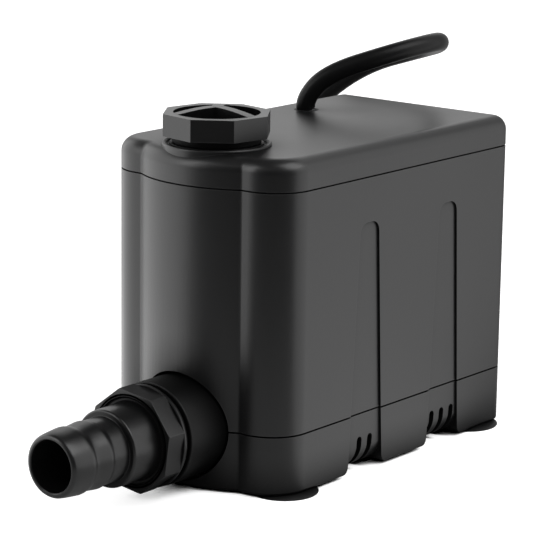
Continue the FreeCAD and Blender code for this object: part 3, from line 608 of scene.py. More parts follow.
def outline(inset):
    """Plan outline of the pump, moved inwards, as a closed list of points."""
    lean = math.degrees(math.atan2(BLEND_CY - NOSE_CY, NOSE_HALF))
    right = arc_points(HALF - BACK_R, BACK_Y - BACK_R, max(BACK_R - inset, 0.05), 90, 0, 8)
    right += arc_points(FRONT_CORNER_X, FRONT_CORNER_Y, FRONT_R - inset, 0, -90, 14)
    right += arc_points(NOSE_HALF, BLEND_CY, BLEND_R + inset, 90, 180 + lean, 6)
    right += arc_points(0, NOSE_CY, NOSE_R - inset, lean, -90, 12)[1:]
    left = [(-x, y) for x, y in reversed(right[:-1])]
    return right + left


def layered(levels):
    """Closed body from (inset, height) levels of the outline."""
    return stacked([[(x, y, z) for x, y in outline(inset)] for inset, z in levels])


def extruded(points, axis, low, high):
    """Closed prism of a flat outline along X, Y or Z."""
    ends = []
    for s in (low, high):
        ends.append([{"X": (s, a, b), "Y": (a, s, b), "Z": (a, b, s)}[axis] for a, b in points])
    return stacked(ends)


def rod(x, y, r, z0, z1, segments=64):
    """Upright round body."""
    return extruded(regular_points(x, y, r, segments), "Z", z0, z1)


def boss_hole():
    """Round room for the outlet boss, open to the front."""
    return extruded(regular_points(0, AXIS_Z, BOSS_HOLE_R, 96), "Y", BOSS_HOLE_FRONT, BOSS_HOLE_END)


def settled(work, helpers=()):
    """Mesh of an object with its modifiers applied; the object and its helpers go."""
    graph = bpy.context.evaluated_depsgraph_get()
    result = bpy.data.meshes.new_from_object(work.evaluated_get(graph))
    for one in (*helpers, work):
        bpy.data.objects.remove(one)
    return result


def combined(mesh, others, operation="DIFFERENCE"):
    """Cut, join or intersect a mesh with others, all in metres."""
    work = placed("work", mesh)
    helpers = []
    for other in others:
        tool = placed("tool", other)
        helpers.append(tool)
        cut = work.modifiers.new("cut", "BOOLEAN")
        cut.operation = operation
        cut.solver = "EXACT"
        cut.object = tool
    return settled(work, helpers)


def carve(mesh, tools, operation="DIFFERENCE"):
    """Cut or intersect a mesh in metres with bodies given in millimetres."""
    return combined(mesh, [to_mesh(bm, "tool") for bm in tools], operation)


def soften(mesh, width, segments=2):
    """Round the hard edges a little and shade the rest smooth."""
    work = placed("work", mesh)
    bevel = work.modifiers.new("bevel", "BEVEL")
    bevel.width = width * MM
    bevel.segments = segments
    bevel.limit_method = "ANGLE"
    bevel.angle_limit = math.radians(28.0)
    bevel.use_clamp_overlap = True
    bevel.miter_outer = "MITER_ARC"
    return smooth_mesh(settled(work))


def smooth_mesh(mesh, angle=40.0):
    """Smooth shading with sharp edges above an angle, flat faces kept flat."""
    mesh.polygons.foreach_set("use_smooth", [True] * len(mesh.polygons))
    mesh.set_sharp_from_angle(angle=math.radians(angle))
    work = placed("work", mesh)
    weigh = work.modifiers.new("weigh", "WEIGHTED_NORMAL")
    weigh.keep_sharp = True
    weigh.weight = 80
    return settled(work)


def smooth_body(bm, name, angle=40.0):
    """Smooth mesh from a bmesh given in millimetres."""
    return smooth_mesh(to_mesh(bm, name), angle)


def joined(parts, name):
    """One mesh from several meshes."""
    bm = bmesh.new()
    for mesh in parts:
        bm.from_mesh(mesh)
    return poured(bm, name)


# Pieces

def recess_side(y, top, foot):
    """Side view of a recess: round at its top, or flared at its foot."""
    def half(z):
        return RECESS_HALF + RECESS_SLOPE * (PART_Z - z)
    if foot:
        edge = y + half(BASE_Z0)
        right = [(y + half(top), top)]
        right += arc_points(edge + FOOT_FLARE, BASE_Z0 + FOOT_FLARE, FOOT_FLARE, 180, 270, 6)
        right.append((edge + FOOT_FLARE, -1.0))
    else:
        r = RECESS_CORNER_R
        right = arc_points(y + half(top) - r, top - r, r, 90, 3, 7)
        right.append((y + half(HOUSING_Z0 - 2), HOUSING_Z0 - 2))
    return right + [(2 * y - a, b) for a, b in reversed(right)]


def housing_mesh():
    """Housing with recesses, hollow above and below its deck."""
    lip = HOUSING_Z0 + SEAM_RISE
    levels = [(SEAM_DEPTH, HOUSING_Z0), (SEAM_DEPTH, lip), (0, lip), (0, HOUSING_Z1)]
    tools = []
    for y in RECESS_YS:
        side = recess_side(y, RECESS_TOP, False)
        tools.append(extruded(side, "X", HALF - RECESS_DEPTH, HALF + 2))
        tools.append(extruded(side, "X", -HALF - 2, -HALF + RECESS_DEPTH))
    tools.append(boss_hole())
    tools.append(layered([(WALL, HOUSING_Z0 - 1), (WALL, DECK_Z0)]))
    tools.append(layered([(WALL, DECK_Z1), (WALL, HOUSING_Z1 + 1)]))
    tools.append(rod(0, ROTOR_Y, MOTOR_HOLE_R, DECK_Z0 - 1, DECK_Z1 + 1))
    tools.append(rod(0, PORT_Y, PORT_BORE_R, DECK_Z0 - 1, DECK_Z1 + 1))
    tools += [rod(x, y, SCREW_HOLE_R, DECK_Z0 - 1, DECK_Z1 + 1, 24) for x, y in PILLARS]
    mesh = soften(carve(to_mesh(layered(levels), "housing"), tools), 0.35)
    foot = DECK_Z1 - 0.3
    tube = [(SCREW_HOLE_R, foot), (PILLAR_R, foot), (PILLAR_R, HOUSING_Z1), (SCREW_HOLE_R, HOUSING_Z1)]
    pillars = [smooth_body(moved(turn_points(tube, 32), x, y), "pillar") for x, y in PILLARS]
    return joined([mesh] + pillars, "housing")


def under_skin():
    """What lies outside the curved underside of a recess, in section."""
    skin = HALF - RECESS_DEPTH
    cx = skin - UNDER_R
    cz = BASE_Z0 + UNDER_R
    points = [(skin, PART_Z + 1), (HALF + 5, PART_Z + 1), (HALF + 5, -1), (cx, -1)]
    return points + arc_points(cx, cz, UNDER_R, -90, 0, 12)[:-1]


def base_room(floor_z):
    """Hollow of the base, rounded like its underside."""
    inset = RECESS_DEPTH + WALL
    half = HALF - inset
    r = UNDER_R - WALL
    trough = [(half, PART_Z + 1), (-half, PART_Z + 1)]
    trough += arc_points(-half + r, floor_z + r, r, 180, 270, 8)
    trough += arc_points(half - r, floor_z + r, r, 270, 360, 8)
    room = to_mesh(layered([(inset, floor_z), (inset, PART_Z + 1)]), "room")
    return carve(room, [extruded(trough, "Y", *ROOM_SPAN_Y)], "INTERSECT")


def slot_tools(mid, count):
    """Leaning slots of one recess, on both sides of the pump."""
    tools = []
    half = SLOT_W / 2
    top_z = SLOT_TOP - half
    lean = Matrix.Rotation(-math.atan(SLOT_LEAN), 3, "X")
    for k in range(count):
        y = mid + (k - (count - 1) / 2) * SLOT_PITCH
        face = [(y - half, -2.0), (y + half, -2.0)] + arc_points(y, top_z, half, 0, 180, 10)
        for x0, x1 in SLOT_SIDES:
            slot = extruded(face, "X", x0, x1)
            bmesh.ops.rotate(slot, cent=(0, y, top_z), matrix=lean, verts=slot.verts)
            tools.append(slot)
    return tools


def base_mesh():
    """Strainer base with curved undersides and slots in its recesses."""
    lip = BASE_Z1 - SEAM_RISE
    levels = arc_points(BASE_ROUND, BASE_Z0 + BASE_ROUND, BASE_ROUND, -90, -180, 5)
    levels += [(0, lip), (SEAM_DEPTH, lip), (SEAM_DEPTH, BASE_Z1)]
    mesh = to_mesh(layered(levels), "base")
    blocks = []
    for y in RECESS_YS:
        for sx in (1, -1):
            x0, x1 = sorted(sx * x for x in UNDERCUT_X)
            side = to_mesh(extruded(recess_side(y, PART_Z + 1, True), "X", x0, x1), "side")
            skin = [(sx * a, b) for a, b in under_skin()]
            below = extruded(skin, "Y", y - RECESS_REACH, y + RECESS_REACH)
            blocks.append(carve(side, [below], "INTERSECT"))
    floor_z = BASE_Z0 + WALL
    room = base_room(floor_z)
    tools = [boss_hole()]
    for mid, count in SLOT_ROWS:
        tools += slot_tools(mid, count)
    for y in CUP_YS:
        for x in (CUP_X, -CUP_X):
            tools.append(rod(x, y, CUP_HOLE_R, -1, 6, 32))
            tools.append(rod(x, y, CUP_ROOM_R, floor_z, 12, 40))
    return soften(carve(combined(mesh, blocks + [room]), tools), 0.3)


def lid_mesh():
    """Lid with its rounded edge, hollow below, and the top port's rings."""
    levels = [(0.25, LID_Z0), (0.0, LID_Z0 + 0.25)]
    levels += arc_points(LID_ROUND, LID_Z1 - LID_ROUND, LID_ROUND, 180, 90, 10)
    room = layered([(LID_WALL, LID_Z0 - 1), (LID_WALL, LID_Z1 - WALL)])
    tools = [room, rod(0, PORT_Y, PORT_HOLE_R, LID_Z0 - 2, 140, 96)]
    tools.append(rod(*CORD_ROOT, GROMMET_HOLE_R, 125, 140, 48))
    shell = smooth_mesh(carve(to_mesh(layered(levels), "lid"), tools), 35)
    ring = [(PORT_BORE_R, 112.0), (18.5, 112.0), (18.5, 122.0), (21.5, 124.0), (21.5, 133.6)]
    ring += arc_points(20.5, 133.6, 1, 15, 165, 10)
    ring += [
        (19.5, 133.5), (19.3, 133.3), (18.7, 133.3), (18.5, 133.5), (18.5, 134.1), (18.35, 134.32),
        (18.1, 134.4), (15.9, 134.4), (15.4, 133.9), (15.4, 118.0), (PORT_BORE_R, 118.0)]
    port = smooth_body(moved(turn_points(ring, 128), 0, PORT_Y), "ring", 35)
    skirt = to_mesh(layered([(WALL + 0.2, 117.5), (WALL + 0.2, LID_Z0 + 0.2)]), "skirt")
    inner = [layered([(LID_WALL, 117), (LID_WALL, LID_Z0 + 1)])]
    inner += [rod(x, y, 4.9, 116, 122, 40) for x, y in PILLARS]
    return joined([shell, port, smooth_mesh(carve(skirt, inner))], "lid")


def cap_mesh():
    """Eight-sided cap with deep pockets between three arched ribs."""
    corners = regular_points(0, 0, CAP_R, 8, CAP_TURN)
    head = to_mesh(extruded(corners, "Z", CAP_Z0, CAP_Z1), "cap")
    dome = turn_points([
        (0, CAP_Z0 - 1), (CAP_R + 3, CAP_Z0 - 1), (CAP_R + 3, CAP_Z1 - 2.0),
        (CAP_R - 1.2, CAP_Z1 + 0.6), (CAP_R - 2.4, CAP_Z1 + 1.0), (0, CAP_Z1 + 1.0)])
    head = carve(head, [dome], "INTERSECT")
    opening = rod(0, 0, CAP_OPEN_R, CAP_Z0 + 2.2, CAP_Z1 + 3, 96)
    pocket = rod(0, 0, POCKET_R, CAP_Z0 - 3, CAP_Z1 + 3, 96)
    head = soften(carve(head, [opening, pocket]), 0.5, 3)
    plug_top = CAP_Z0 + 0.3
    plug = turn_points(rounded([
        (0, CAP_PLUG_Z0), (CAP_PLUG_R, CAP_PLUG_Z0), (CAP_PLUG_R, plug_top), (POCKET_R, plug_top),
        (POCKET_R, POCKET_Z0), (0, POCKET_Z0)], 0.5))
    profile = [
        (0.0, POCKET_Z0 - 0.3), (POCKET_R + 0.1, POCKET_Z0 - 0.3), (POCKET_R + 0.1, CAP_Z0 + 2.0),
        (CAP_OPEN_R + 0.5, CAP_Z0 + 2.0), (CAP_OPEN_R + 0.9, CAP_Z1 - 0.25)]
    for k in range(12, -1, -1):
        t = k / 12
        profile.append(((CAP_OPEN_R + 0.3) * t, CAP_Z1 + RIB_RISE * math.cos(t * math.pi / 2)))
    ribs = []
    for turn in RIB_TURNS:
        rib = to_mesh(extruded(profile, "Y", -RIB_HALF, RIB_HALF), "rib")
        rib.transform(Matrix.Rotation(math.radians(turn), 4, "Z"))
        ribs.append(rib)
    star = soften(combined(ribs[0], ribs[1:], "UNION"), 0.55, 3)
    mesh = joined([head, smooth_body(plug, "plug", 35), star], "cap")
    mesh.transform(Matrix.Translation((0, PORT_Y * MM, 0)))
    return mesh


def barb_mesh():
    """Hose barb: shank, flange, eight-sided collar, stepped neck with ridges."""
    profile = [
        (10.2, 47.3), (15.8, 47.3), (16.6, 48.1), (16.6, 63.0), (20.2, 63.0), (20.5, 63.3), (20.5, 64.0),
        (20.2, COLLAR_Z0), (18.6, COLLAR_Z0), (18.6, COLLAR_Z1), (17.6, COLLAR_Z1), (17.0, 72.1),
        (15.9, 72.1), (15.3, COLLAR_Z1), (15.3, 86.1)]
    profile += arc_points(14.3, 86.1, 1, 15, 90, 5)
    profile += [
        (13.2, 87.1), (12.9, 87.3), (12.8, 87.8), (12.8, 94.4), (12.86, 95.1), (13.0, 95.7), (13.2, 96.5),
        (13.3, 97.2), (13.27, 97.7), (13.1, 99.3), (12.9, 101.2), (12.75, 102.7), (12.7, 103.6),
        (12.7, 104.4), (12.8, 105.0), (13.0, 105.6), (13.2, 106.6), (13.25, 107.2), (13.2, 107.9),
        (13.05, 109.5), (12.85, 111.7), (12.65, 113.5), (12.35, 115.5), (12.1, 116.1), (11.8, 116.55),
        (11.4, 116.82), (11.0, 116.9), (10.6, 116.9), (10.2, 116.5)]
    shank = smooth_body(lay_along_y(turn_points(profile, 128)), "barb", 35)
    limit = turn_points([
        (16.5, COLLAR_Z0), (COLLAR_R + 1, COLLAR_Z0), (COLLAR_R + 1, 72.3), (COLLAR_R - 0.5, COLLAR_Z1),
        (17.6, COLLAR_Z1), (17.0, 72.1), (16.5, 72.1)], 128)
    corners = regular_points(0, 0, COLLAR_R, 8, COLLAR_TURN)
    collar = carve(to_mesh(extruded(corners, "Z", COLLAR_Z0, COLLAR_Z1), "collar"), [limit], "INTERSECT")
    collar = soften(collar, 0.45, 3)
    collar.transform(Matrix.Translation((0, 0, AXIS_Z * MM)) @ Matrix.Rotation(math.radians(90), 4, "X"))
    return joined([shank, collar], "barb")


def boss_mesh():
    """Outlet boss, passage and tee."""
    profile = [
        (PORT_BORE_R, 1.2), (PASSAGE_R, 1.2), (PASSAGE_R, 39.1), (20.8, 39.1), (20.8, 59.8), (20.65, 60.25),
        (20.3, 60.5), (19.9, 60.6), (17.4, 60.6), (16.9, 60.1), (16.9, 46.5), (PORT_BORE_R, 46.5)]
    body = smooth_body(lay_along_y(turn_points(profile, 128)), "boss", 35)
    tube = [(PORT_BORE_R, 36.2), (PASSAGE_R, 36.2), (PASSAGE_R, DECK_Z0), (PORT_BORE_R, DECK_Z0)]
    stub = smooth_body(moved(turn_points(tube, 64), 0, PORT_Y), "stub")
    return joined([body, stub], "boss")


def cup_mesh(x, y):
    """Suction cup with a thin flexible lip."""
    profile = [
        (0, 1.0), (3.5, 0.98), (7.0, 0.85), (10.0, 0.35), (11.5, 0.02), (12.6, 0.0), (13.6, 0.0),
        (13.85, 0.1), (13.82, 0.3), (13.5, 0.48), (12.6, 0.82), (11.2, 1.02), (9.5, 1.13), (3.2, 1.14),
        (3.2, 3.76), (4.4, 3.76), (4.6, 4.0), (4.6, 4.6), (4.2, 5.1), (3.0, 5.9), (1.5, 6.1), (0, 6.13)]
    return smooth_body(moved(turn_points(profile), x, y), "cup", 50)


def ring_mesh(points, place=None, round_by=0.3):
    """Turned ring with rounded corners, upright at its place or else on the outlet's axis."""
    bm = turn_points(rounded(points, round_by), 112)
    bm = moved(bm, *place) if place else lay_along_y(bm)
    return smooth_body(bm, "ring", 50)


def coil_route():
    """Turns of the put-away coil, from its top outer turn down to the floor."""
    turns = COIL_WHOLE_TURNS + (COIL_START - COIL_END) / 360
    points = []
    count = int(turns * COIL_STEPS)
    for k in range(1, count + 1):
        t = turns * k / count
        whole = int(t)
        part = t - whole
        here = COIL_PLACES[whole]
        there = here
        mix = 0.0
        if part > 1 - COIL_SHIFT and whole < COIL_WHOLE_TURNS:
            there = COIL_PLACES[whole + 1]
            mix = (part - (1 - COIL_SHIFT)) / (2 * COIL_SHIFT)
        elif part < COIL_SHIFT and whole > 0:
            there = COIL_PLACES[whole - 1]
            mix = (COIL_SHIFT - part) / (2 * COIL_SHIFT)
        r = (here[0] * (1 - mix) + there[0] * mix) * COIL_WIDEN
        z = here[1] * (1 - mix) + there[1] * mix
        a = math.radians(COIL_START - 360 * t)
        points.append((COIL_X + r * math.cos(a), COIL_Y + r * math.sin(a), z))
    return points


def tail_route():
    """From the coil's last turn to the plug."""
    a = math.radians(COIL_END)
    x = COIL_X + COIL_PLACES[-1][0] * math.cos(a)
    y = COIL_Y + COIL_PLACES[-1][0] * math.sin(a)
    points = []
    for heading, z in zip(TAIL_HEADINGS, TAIL_RISE):
        way = math.radians(heading)
        x += TAIL_RUN * math.cos(way)
        y += TAIL_RUN * math.sin(way)
        points.append((x, y, z))
    return points


def plug_place():
    """Transform from the plug's own frame to the cord's end."""
    end = tail_route()[-1]
    turn = Matrix.Rotation(math.radians(TAIL_HEADINGS[-1]), 4, "Z")
    return Matrix.Translation((end[0] * MM, end[1] * MM, 0)) @ turn


def plug_mesh():
    """Moulded plug: waisted grip, flat face, ribbed strain relief."""
    sections = (
        (13.6, 8.4, 8.6, 12.9), (15.0, 10.5, 10.8, 12.7), (18.0, 12.0, 12.0, 12.55),
        (24.0, 11.6, 11.6, 12.55), (31.0, 11.8, 11.7, 12.55), (38.0, 12.9, 12.4, 12.5),
        (46.5, 13.0, 12.45, 12.5), (47.6, 12.6, 12.1, 12.5), (48.0, 11.8, 11.4, 12.5))
    rings = []
    for x, wide, high, mid in sections:
        ring = []
        for k in range(PLUG_SIDES):
            a = 2 * math.pi * k / PLUG_SIDES
            c = math.copysign(abs(math.cos(a)) ** PLUG_SQUARENESS, math.cos(a))
            s = math.copysign(abs(math.sin(a)) ** PLUG_SQUARENESS, math.sin(a))
            ring.append((x, wide * c, mid + high * s))
        rings.append(ring)
    grip = smooth_body(stacked(rings), "grip")
    relief = [(0, 0.0), (4.9, 0.0), (5.2, 0.4)]
    for k in range(4):
        x = 1.6 + 3.0 * k
        r = 5.3 + 0.7 * k
        relief += [(r, x), (r + 0.15, x + 1.5), (r - 0.7, x + 1.9), (r - 0.6, x + 2.7)]
    relief += [(8.0, 13.6), (8.0, 14.6), (0, 14.6)]
    cone = moved(quarter_turned(turn_points(relief, 48), "Y"), 0, 0, CORD_IN_PLUG_Z)
    mesh = joined([grip, smooth_body(cone, "relief", 30)], "plug")
    mesh.transform(plug_place())
    return mesh


def blades_mesh():
    """Two flat blades with a hole near their tips, and a round ground pin."""
    side = [(48.0, 4.4), (63.7, 4.4), (64.5, 5.2), (64.5, 9.9), (63.7, 10.7), (48.0, 10.7)]
    hole = regular_points(60.6, 7.55, 1.6, 24)
    parts = []
    for y in (BLADE_Y, -BLADE_Y):
        blade = to_mesh(extruded(side, "Y", y - BLADE_HALF, y + BLADE_HALF), "blade")
        parts.append(soften(carve(blade, [extruded(hole, "Y", y - 2, y + 2)]), 0.15))
    pin = turn_points([
        (0, 48.0), (2.4, 48.0), (2.4, 63.4), (2.3, 64.2), (1.9, 65.2), (1.3, 65.8), (0.6, 66.0),
        (0, 66.0)], 40)
    pin = moved(quarter_turned(pin, "Y"), 0, 0, PIN_Z)
    parts.append(smooth_body(pin, "pin", 30))
    mesh = joined(parts, "blades")
    mesh.transform(plug_place())
    return mesh


def tie_mesh():
    """Strap round the coil."""
    x0 = COIL_X + TIE_X0
    x1 = COIL_X + TIE_X1
    top = TIE_Z1 - TIE_R
    outer = arc_points(x0 + TIE_R, top, TIE_R, 180, 90, 6) + arc_points(x1 - TIE_R, top, TIE_R, 90, 0, 6)
    outer += arc_points(x1 - TIE_R, TIE_R, TIE_R, 0, -90, 6)
    outer += arc_points(x0 + TIE_R, TIE_R, TIE_R, -90, -180, 6)
    wide = x1 - x0 - 2 * TIE_WALL
    high = TIE_Z1 - 2 * TIE_WALL
    inner = [(x0 + TIE_WALL + (x - x0) * wide / (x1 - x0), TIE_WALL + z * high / TIE_Z1) for x, z in outer]
    band = to_mesh(extruded(outer, "Y", COIL_Y - TIE_HALF, COIL_Y + TIE_HALF), "band")
    room = extruded(inner, "Y", COIL_Y - TIE_HALF - 2, COIL_Y + TIE_HALF + 2)
    return soften(carve(band, [room]), 0.2)


def cord_curve(thickness):
    """The whole cord as one round curve, from the lid into the plug."""
    curve = bpy.data.curves.new("power_cord", "CURVE")
    curve.dimensions = "3D"
    curve.bevel_depth = thickness / 2
    curve.bevel_resolution = 8
    curve.resolution_u = 8
    curve.use_fill_caps = True
    points = CORD_ROUTE + coil_route() + tail_route()
    x, y, z = points[-1]
    way = math.radians(TAIL_HEADINGS[-1])
    points.append((x + CORD_INTO_PLUG * math.cos(way), y + CORD_INTO_PLUG * math.sin(way), z))
    line = curve.splines.new("NURBS")
    line.points.add(len(points) - 1)
    for k, p in enumerate(points):
        line.points[k].co = (p[0] * MM, p[1] * MM, p[2] * MM, 1)
    line.order_u = 3
    line.use_endpoint_u = True
    return curve


# Studio

def make_camera(settings):
    """Camera at its fitted place, turned by azimuth, elevation and roll."""
    scene = bpy.context.scene
    a = math.radians(settings.azimuth)
    e = math.radians(settings.elevation)
    back = Vector((math.sin(a) * math.cos(e), -math.cos(a) * math.cos(e), math.sin(e)))
    right = Vector((math.cos(a), math.sin(a), 0))
    up = back.cross(right)
    r = math.radians(settings.roll)
    across = right * math.cos(r) + up * math.sin(r)
    upward = up * math.cos(r) - right * math.sin(r)
    place = Matrix((across, upward, back)).transposed().to_4x4()
    place.translation = Vector(settings.camera_place)
    eye = bpy.data.cameras.new("camera")
    eye.lens = settings.lens
    eye.sensor_width = 36.0
    eye.clip_start = 0.01
    eye.clip_end = 50.0
    camera = placed("camera", eye)
    camera.matrix_world = place
    scene.camera = camera


def make_surroundings(strength):
    """White background, with its own strength as a light from all round."""
    world = bpy.data.worlds.new("studio")
    bpy.context.scene.world = world
    world.use_nodes = True
    tree = world.node_tree
    even = tree.nodes["Background"]
    feed(tree, even, {"Color": (1, 1, 1, 1), "Strength": strength})
    seen = add_node(tree, "Background", {"Color": (1, 1, 1, 1), "Strength": 1.0})
    mix_seen(tree, even, seen, tree.nodes["World Output"])


def flat_sheet(x0, x1, y0, y1, z):
    """Flat four-sided sheet, in metres."""
    bm = bmesh.new()
    bm.faces.new([bm.verts.new((x, y, z)) for x, y in ((x0, y0), (x1, y0), (x1, y1), (x0, y1))])
    return bm


def floor_material():
    """Plain pale floor that keeps the shadow, with a painted contact shadow where the pump comes close."""
    made, tree = new_material("pale floor")
    shader = tree.nodes["Principled BSDF"]
    feed(tree, shader, {"Roughness": 0.9, "Specular IOR Level": 0.0})
    glow = add_node(tree, "Emission")
    # Painted contact shadow: the floor's colour and glow fall off where the pump comes close.
    factor = nearness(tree, FLOOR_SHADE_REACH, low=0.13, high=0.27)
    for top, node, entry in ((FLOOR_TONE, shader, "Base Color"), (FLOOR_GLOW, glow, "Strength")):
        feed(tree, node, {entry: product(tree, factor, top)})
    add = add_node(tree, "AddShader", {0: shader.outputs[0], 1: glow.outputs[0]})
    mix_seen(tree, shader, add, tree.nodes["Material Output"])
    return made


def card(name, first, last, far, near):
    """Studio card from one angle to another round the pump, flat on the floor and upright behind."""
    bm = bmesh.new()
    rows = []
    for reach, z in CARD_ROWS:
        row = []
        for k in range(CARD_STEPS + 1):
            a = math.radians(first + (last - first) * k / CARD_STEPS)
            row.append(bm.verts.new((reach * math.sin(a), CARD_MIDDLE_Y - reach * math.cos(a), z)))
        rows.append(row)
    for low, high in zip(rows, rows[1:]):
        skin_between(bm, low, high, wrap=False)
    bmesh.ops.remove_doubles(bm, verts=bm.verts, dist=1e-6)
    board(name, bm, far, near)


def board(name, bm, far, near):
    """Glowing board seen in reflections only, with its brightness far from and near the pump, and painted
    shade that dims it where the pump comes close.
    """
    made, tree = new_material(name)
    place = add_node(tree, "TexCoord").outputs["Object"]
    away = add_node(tree, "VectorMath", {0: place}, operation="LENGTH").outputs["Value"]
    level = remap(tree, away, CARD_NEAR, CARD_FAR, near, far)
    # Painted shade: the glow dims where the pump comes close.
    clear = nearness(tree, CARD_SHADE_REACH, low=0.15, high=0.75)
    light = add_node(tree, "Emission", {"Strength": product(tree, level, clear)})
    feed(tree, tree.nodes["Material Output"], {"Surface": light.outputs[0]})
    sheet = placed(name, poured(bm, name))
    sheet.data.materials.append(made)
    for kind in ("camera", "diffuse", "transmission", "volume_scatter", "shadow"):
        setattr(sheet, "visible_" + kind, False)


def lamp(name, place, target, width, height, power):
    """Soft rectangular lamp aimed at a point."""
    light = bpy.data.lights.new(name, "AREA")
    light.shape = "RECTANGLE"
    light.size = width
    light.size_y = height
    light.energy = power
    holder = placed(name, light)
    holder.location = place
    aim = Vector(target) - Vector(place)
    holder.rotation_euler = aim.to_track_quat("-Z", "Y").to_euler()


def make_stage(settings):
    """Camera, floor, surrounding light, lamps and cards."""
    bpy.context.scene.view_settings.view_transform = "Standard"
    make_camera(settings)
    make_surroundings(settings.world_strength)
    half = FLOOR_HALF
    floor = placed("floor", poured(flat_sheet(-half, half, -half, half, FLOOR_Z), "floor"))
    floor.data.materials.append(floor_material())
    lamp("key light", (0.75, 0.25, 1.15), (0, 0.03, 0.06), 0.9, 0.9, settings.key_power)
    lamp("front light", (-0.55, -1.0, 0.75), (0, 0, 0.07), 0.35, 0.9, settings.fill_power)
    lamp("lid light", (-0.42, 0.58, 0.42), (0, 0, 0.13), 0.5, 0.22, settings.lid_power)
    left = settings.left_card
    card("dark card", -24, 96, 0.05, 0.6)
    card("left card", -112, -30, 0.95 * left, 1.2 * left)
    card("far left card", -165, -112, 0.35 * left, 0.6 * left)
    card("right card", 100, 155, settings.right_card, settings.right_card)
    card("rear card", 155, 200, 0.45, 0.45)
    board("top card", flat_sheet(-1.6, 1.6, -1.6, 1.1, TOP_CARD_Z), 0.12, 0.12)


# Steps of the build

class PUMP_OT_stage(bpy.types.Operator):
    """Set the camera, the floor and the lamps"""

    bl_idname = "pump.stage"
    bl_label = "Studio"

    def execute(self, context):
        make_stage(context.scene.stage_setup)
        return {"FINISHED"}


class PUMP_OT_cord(bpy.types.Operator):
    """Lay the power cord from the lid to its plug, with its coil, tie and plug"""

    bl_idname = "pump.cord"
    bl_label = "Power cord"

    def execute(self, context):
        shape = context.scene.cord_shape
        cord = new_piece("power_cord", cord_curve(shape.diameter), "pump", cord_jacket(), "cord_jacket",
                         "power_cord_run", "power_cord_coil", "power_cord_tail")
        nylon = plastic("strap nylon", (0.012, 0.012, 0.012), 0.38, 0.05)
        tie = new_piece("coil_strap", tie_mesh(), "pump", nylon, "tie_plastic", "cord_tie")
        rubber = plastic("plug rubber", look().cord_color, 0.42, 0.08, 1100.0)
        plug = new_piece("plug_grip", plug_mesh(), "pump", rubber, "plug_plastic", "plug_body")
        brass = metal("blade brass", (0.78, 0.70, 0.45), 0.28)
        blades = new_piece("plug_pins", blades_mesh(), "pump", brass, "blade_brass", "plug_blades")
        return {"FINISHED"}


class PUMP_OT_base(bpy.types.Operator):
    """Build the slotted strainer base"""

    bl_idname = "pump.base"
    bl_label = "Strainer base"

    def execute(self, context):
        new_piece("base_shell", base_mesh(), "base", base_plastic(), "base_plastic", "strainer_base")
        return {"FINISHED"}


class PUMP_OT_cups(bpy.types.Operator):
    """Build the four suction cups"""

    bl_idname = "pump.cups"
    bl_label = "Suction cups"

    def execute(self, context):
        for side, sx in (("right", 1), ("left", -1)):
            for end, y in (("front", CUP_YS[0]), ("rear", CUP_YS[1])):
                new_piece(f"cup_{end}_{side}", cup_mesh(sx * CUP_X, y), "base", soft_rubber(),
                          "soft_rubber", f"suction_cup_{end}_{side}")
        return {"FINISHED"}


class PUMP_OT_housing(bpy.types.Operator):
    """Build the upright housing"""

    bl_idname = "pump.housing"
    bl_label = "Housing"

    def execute(self, context):
        new_piece("housing_shell", housing_mesh(), "pump", shell_plastic(), "housing_plastic",
                  "main_housing")
        return {"FINISHED"}


class PUMP_OT_lid(bpy.types.Operator):
    """Build the lid and the cord's grommet"""

    bl_idname = "pump.lid"
    bl_label = "Lid"

    def execute(self, context):
        new_piece("lid_shell", lid_mesh(), "pump", shell_plastic(), "housing_plastic", "top_lid")
        section = [
            (4.05, 128.7), (6.3, 128.7), (6.3, 130.75), (5.1, 130.75), (5.1, 133.25), (4.8, 133.4),
            (4.05, 133.4)]
        grommet = ring_mesh(section, CORD_ROOT, 0.1)
        new_piece("grommet", grommet, "pump", soft_rubber(), "soft_rubber", "cord_gland")
        return {"FINISHED"}


class PUMP_OT_cap(bpy.types.Operator):
    """Build the cap of the top port and its gasket"""

    bl_idname = "pump.cap"
    bl_label = "Top cap"

    def execute(self, context):
        new_piece("cap_head", cap_mesh(), "cap", fitting_plastic(), "fitting_plastic", "top_port_cap")
        section = [(15.35, 134.5), (17.5, 134.5), (17.5, 137.25), (15.35, 137.25)]
        gasket = ring_mesh(section, (0, PORT_Y))
        new_piece("cap_gasket", gasket, "cap_seal", soft_rubber(), "soft_rubber", "top_port_gasket")
        return {"FINISHED"}


class PUMP_OT_outlet(bpy.types.Operator):
    """Build the outlet boss, the gasket and the hose barb"""

    bl_idname = "pump.outlet"
    bl_label = "Outlet and barb"

    def execute(self, context):
        new_piece("outlet_boss", boss_mesh(), "pump", shaded_boss_plastic(), "fitting_plastic",
                  "discharge_manifold")
        new_piece("barb_body", barb_mesh(), "barb", fitting_plastic(), "fitting_plastic", "hose_barb")
        gasket = ring_mesh([(16.85, 60.7), (19.0, 60.7), (19.0, 62.9), (16.85, 62.9)])
        new_piece("barb_gasket", gasket, "barb_seal", soft_rubber(), "soft_rubber", "hose_barb_gasket")
        return {"FINISHED"}


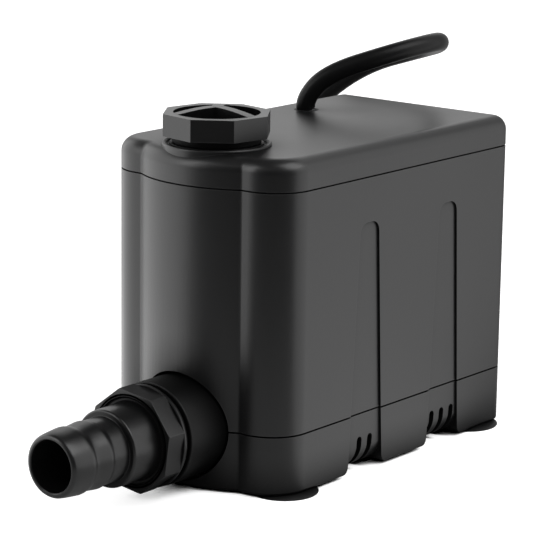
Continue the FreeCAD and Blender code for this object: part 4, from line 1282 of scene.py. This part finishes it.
class PUMP_OT_inside(bpy.types.Operator):
    """Give the inner pieces and the lid's seal their materials"""

    bl_idname = "pump.inside"
    bl_label = "Inner pieces"

    def execute(self, context):
        inner = plastic("inner plastic", (0.035, 0.036, 0.04), 0.42)
        steel = metal("stainless steel", (0.60, 0.60, 0.59), 0.3)
        laminated = banded("steel stack", (0.10, 0.10, 0.105), (0.35, 0.35, 0.36), 0.0005, 0.35, 0.9)
        copper = banded("copper winding", (0.30, 0.09, 0.03), (0.75, 0.30, 0.12), 0.0006, 0.3, 0.8)
        groups = (
            (soft_rubber(), ("lid_seal", "riser_seal", "chamber_cover_seal")),
            (soft_rubber(), ("lower_bushing", "upper_bushing")),
            (cord_jacket(), ("cord_inner",)),
            (steel, ("lid_screws", "chamber_cover_screws")),
            (inner, ("riser_pipe", "impeller_chamber", "chamber_cover", "rotor_well", "motor_case")),
            (plastic("impeller plastic", (0.42, 0.43, 0.43), 0.4), ("impeller",)),
            (plastic("ferrite", (0.06, 0.06, 0.064), 0.5, 0.2, 700.0), ("rotor_magnet",)),
            (plastic("ceramic", (0.80, 0.79, 0.75), 0.2, 0.02), ("rotor_shaft",)),
            (laminated, ("stator_core",)),
            (copper, ("coil_winding",)),
            (plastic("bobbin plastic", (0.62, 0.60, 0.52), 0.45), ("coil_bobbin",)),
            (plastic("cut-out case", (0.5, 0.49, 0.44), 0.4), ("thermal_cutout",)),
            (metal("tinned copper", (0.62, 0.45, 0.34), 0.32), ("lead_splices",)),
            (plastic("cast resin", (0.02, 0.018, 0.016), 0.22, 0.02, 300.0, 0.25), ("potting_resin",)))
        for finish, names in groups:
            for name in names:
                materials = bpy.data.objects[name].data.materials
                materials.clear()
                materials.append(finish)
        return {"FINISHED"}


STEPS = (PUMP_OT_stage, PUMP_OT_cord, PUMP_OT_base, PUMP_OT_cups, PUMP_OT_housing,
         PUMP_OT_lid, PUMP_OT_cap, PUMP_OT_outlet, PUMP_OT_inside)


class PUMP_PT_panel(bpy.types.Panel):
    """Sidebar panel with the pump's steps and settings"""

    bl_idname = "PUMP_PT_panel"
    bl_label = "Water pump"
    bl_space_type = "VIEW_3D"
    bl_region_type = "UI"
    bl_category = "Pump"

    def draw(self, context):
        for step in STEPS:
            self.layout.operator(step.bl_idname)
        for group in (context.scene.pump_look, context.scene.cord_shape, context.scene.stage_setup):
            for name in group.bl_rna.properties.keys():
                if name not in ("rna_type", "name"):
                    self.layout.prop(group, name)


CLASSES = (PumpLook, CordShape, StageSetup) + STEPS + (PUMP_PT_panel,)


def register():
    """Register the classes and the scene's settings."""
    for entry in CLASSES:
        bpy.utils.register_class(entry)
    bpy.types.Scene.pump_look = PointerProperty(type=PumpLook)
    bpy.types.Scene.cord_shape = PointerProperty(type=CordShape)
    bpy.types.Scene.stage_setup = PointerProperty(type=StageSetup)


def unregister():
    """Remove what register added."""
    del bpy.types.Scene.stage_setup
    del bpy.types.Scene.cord_shape
    del bpy.types.Scene.pump_look
    for entry in reversed(CLASSES):
        bpy.utils.unregister_class(entry)


def main():
    """Build every piece."""
    register()
    for step in STEPS:
        group, name = step.bl_idname.split(".")
        getattr(getattr(bpy.ops, group), name)()


if __name__ == "__main__":
    main()
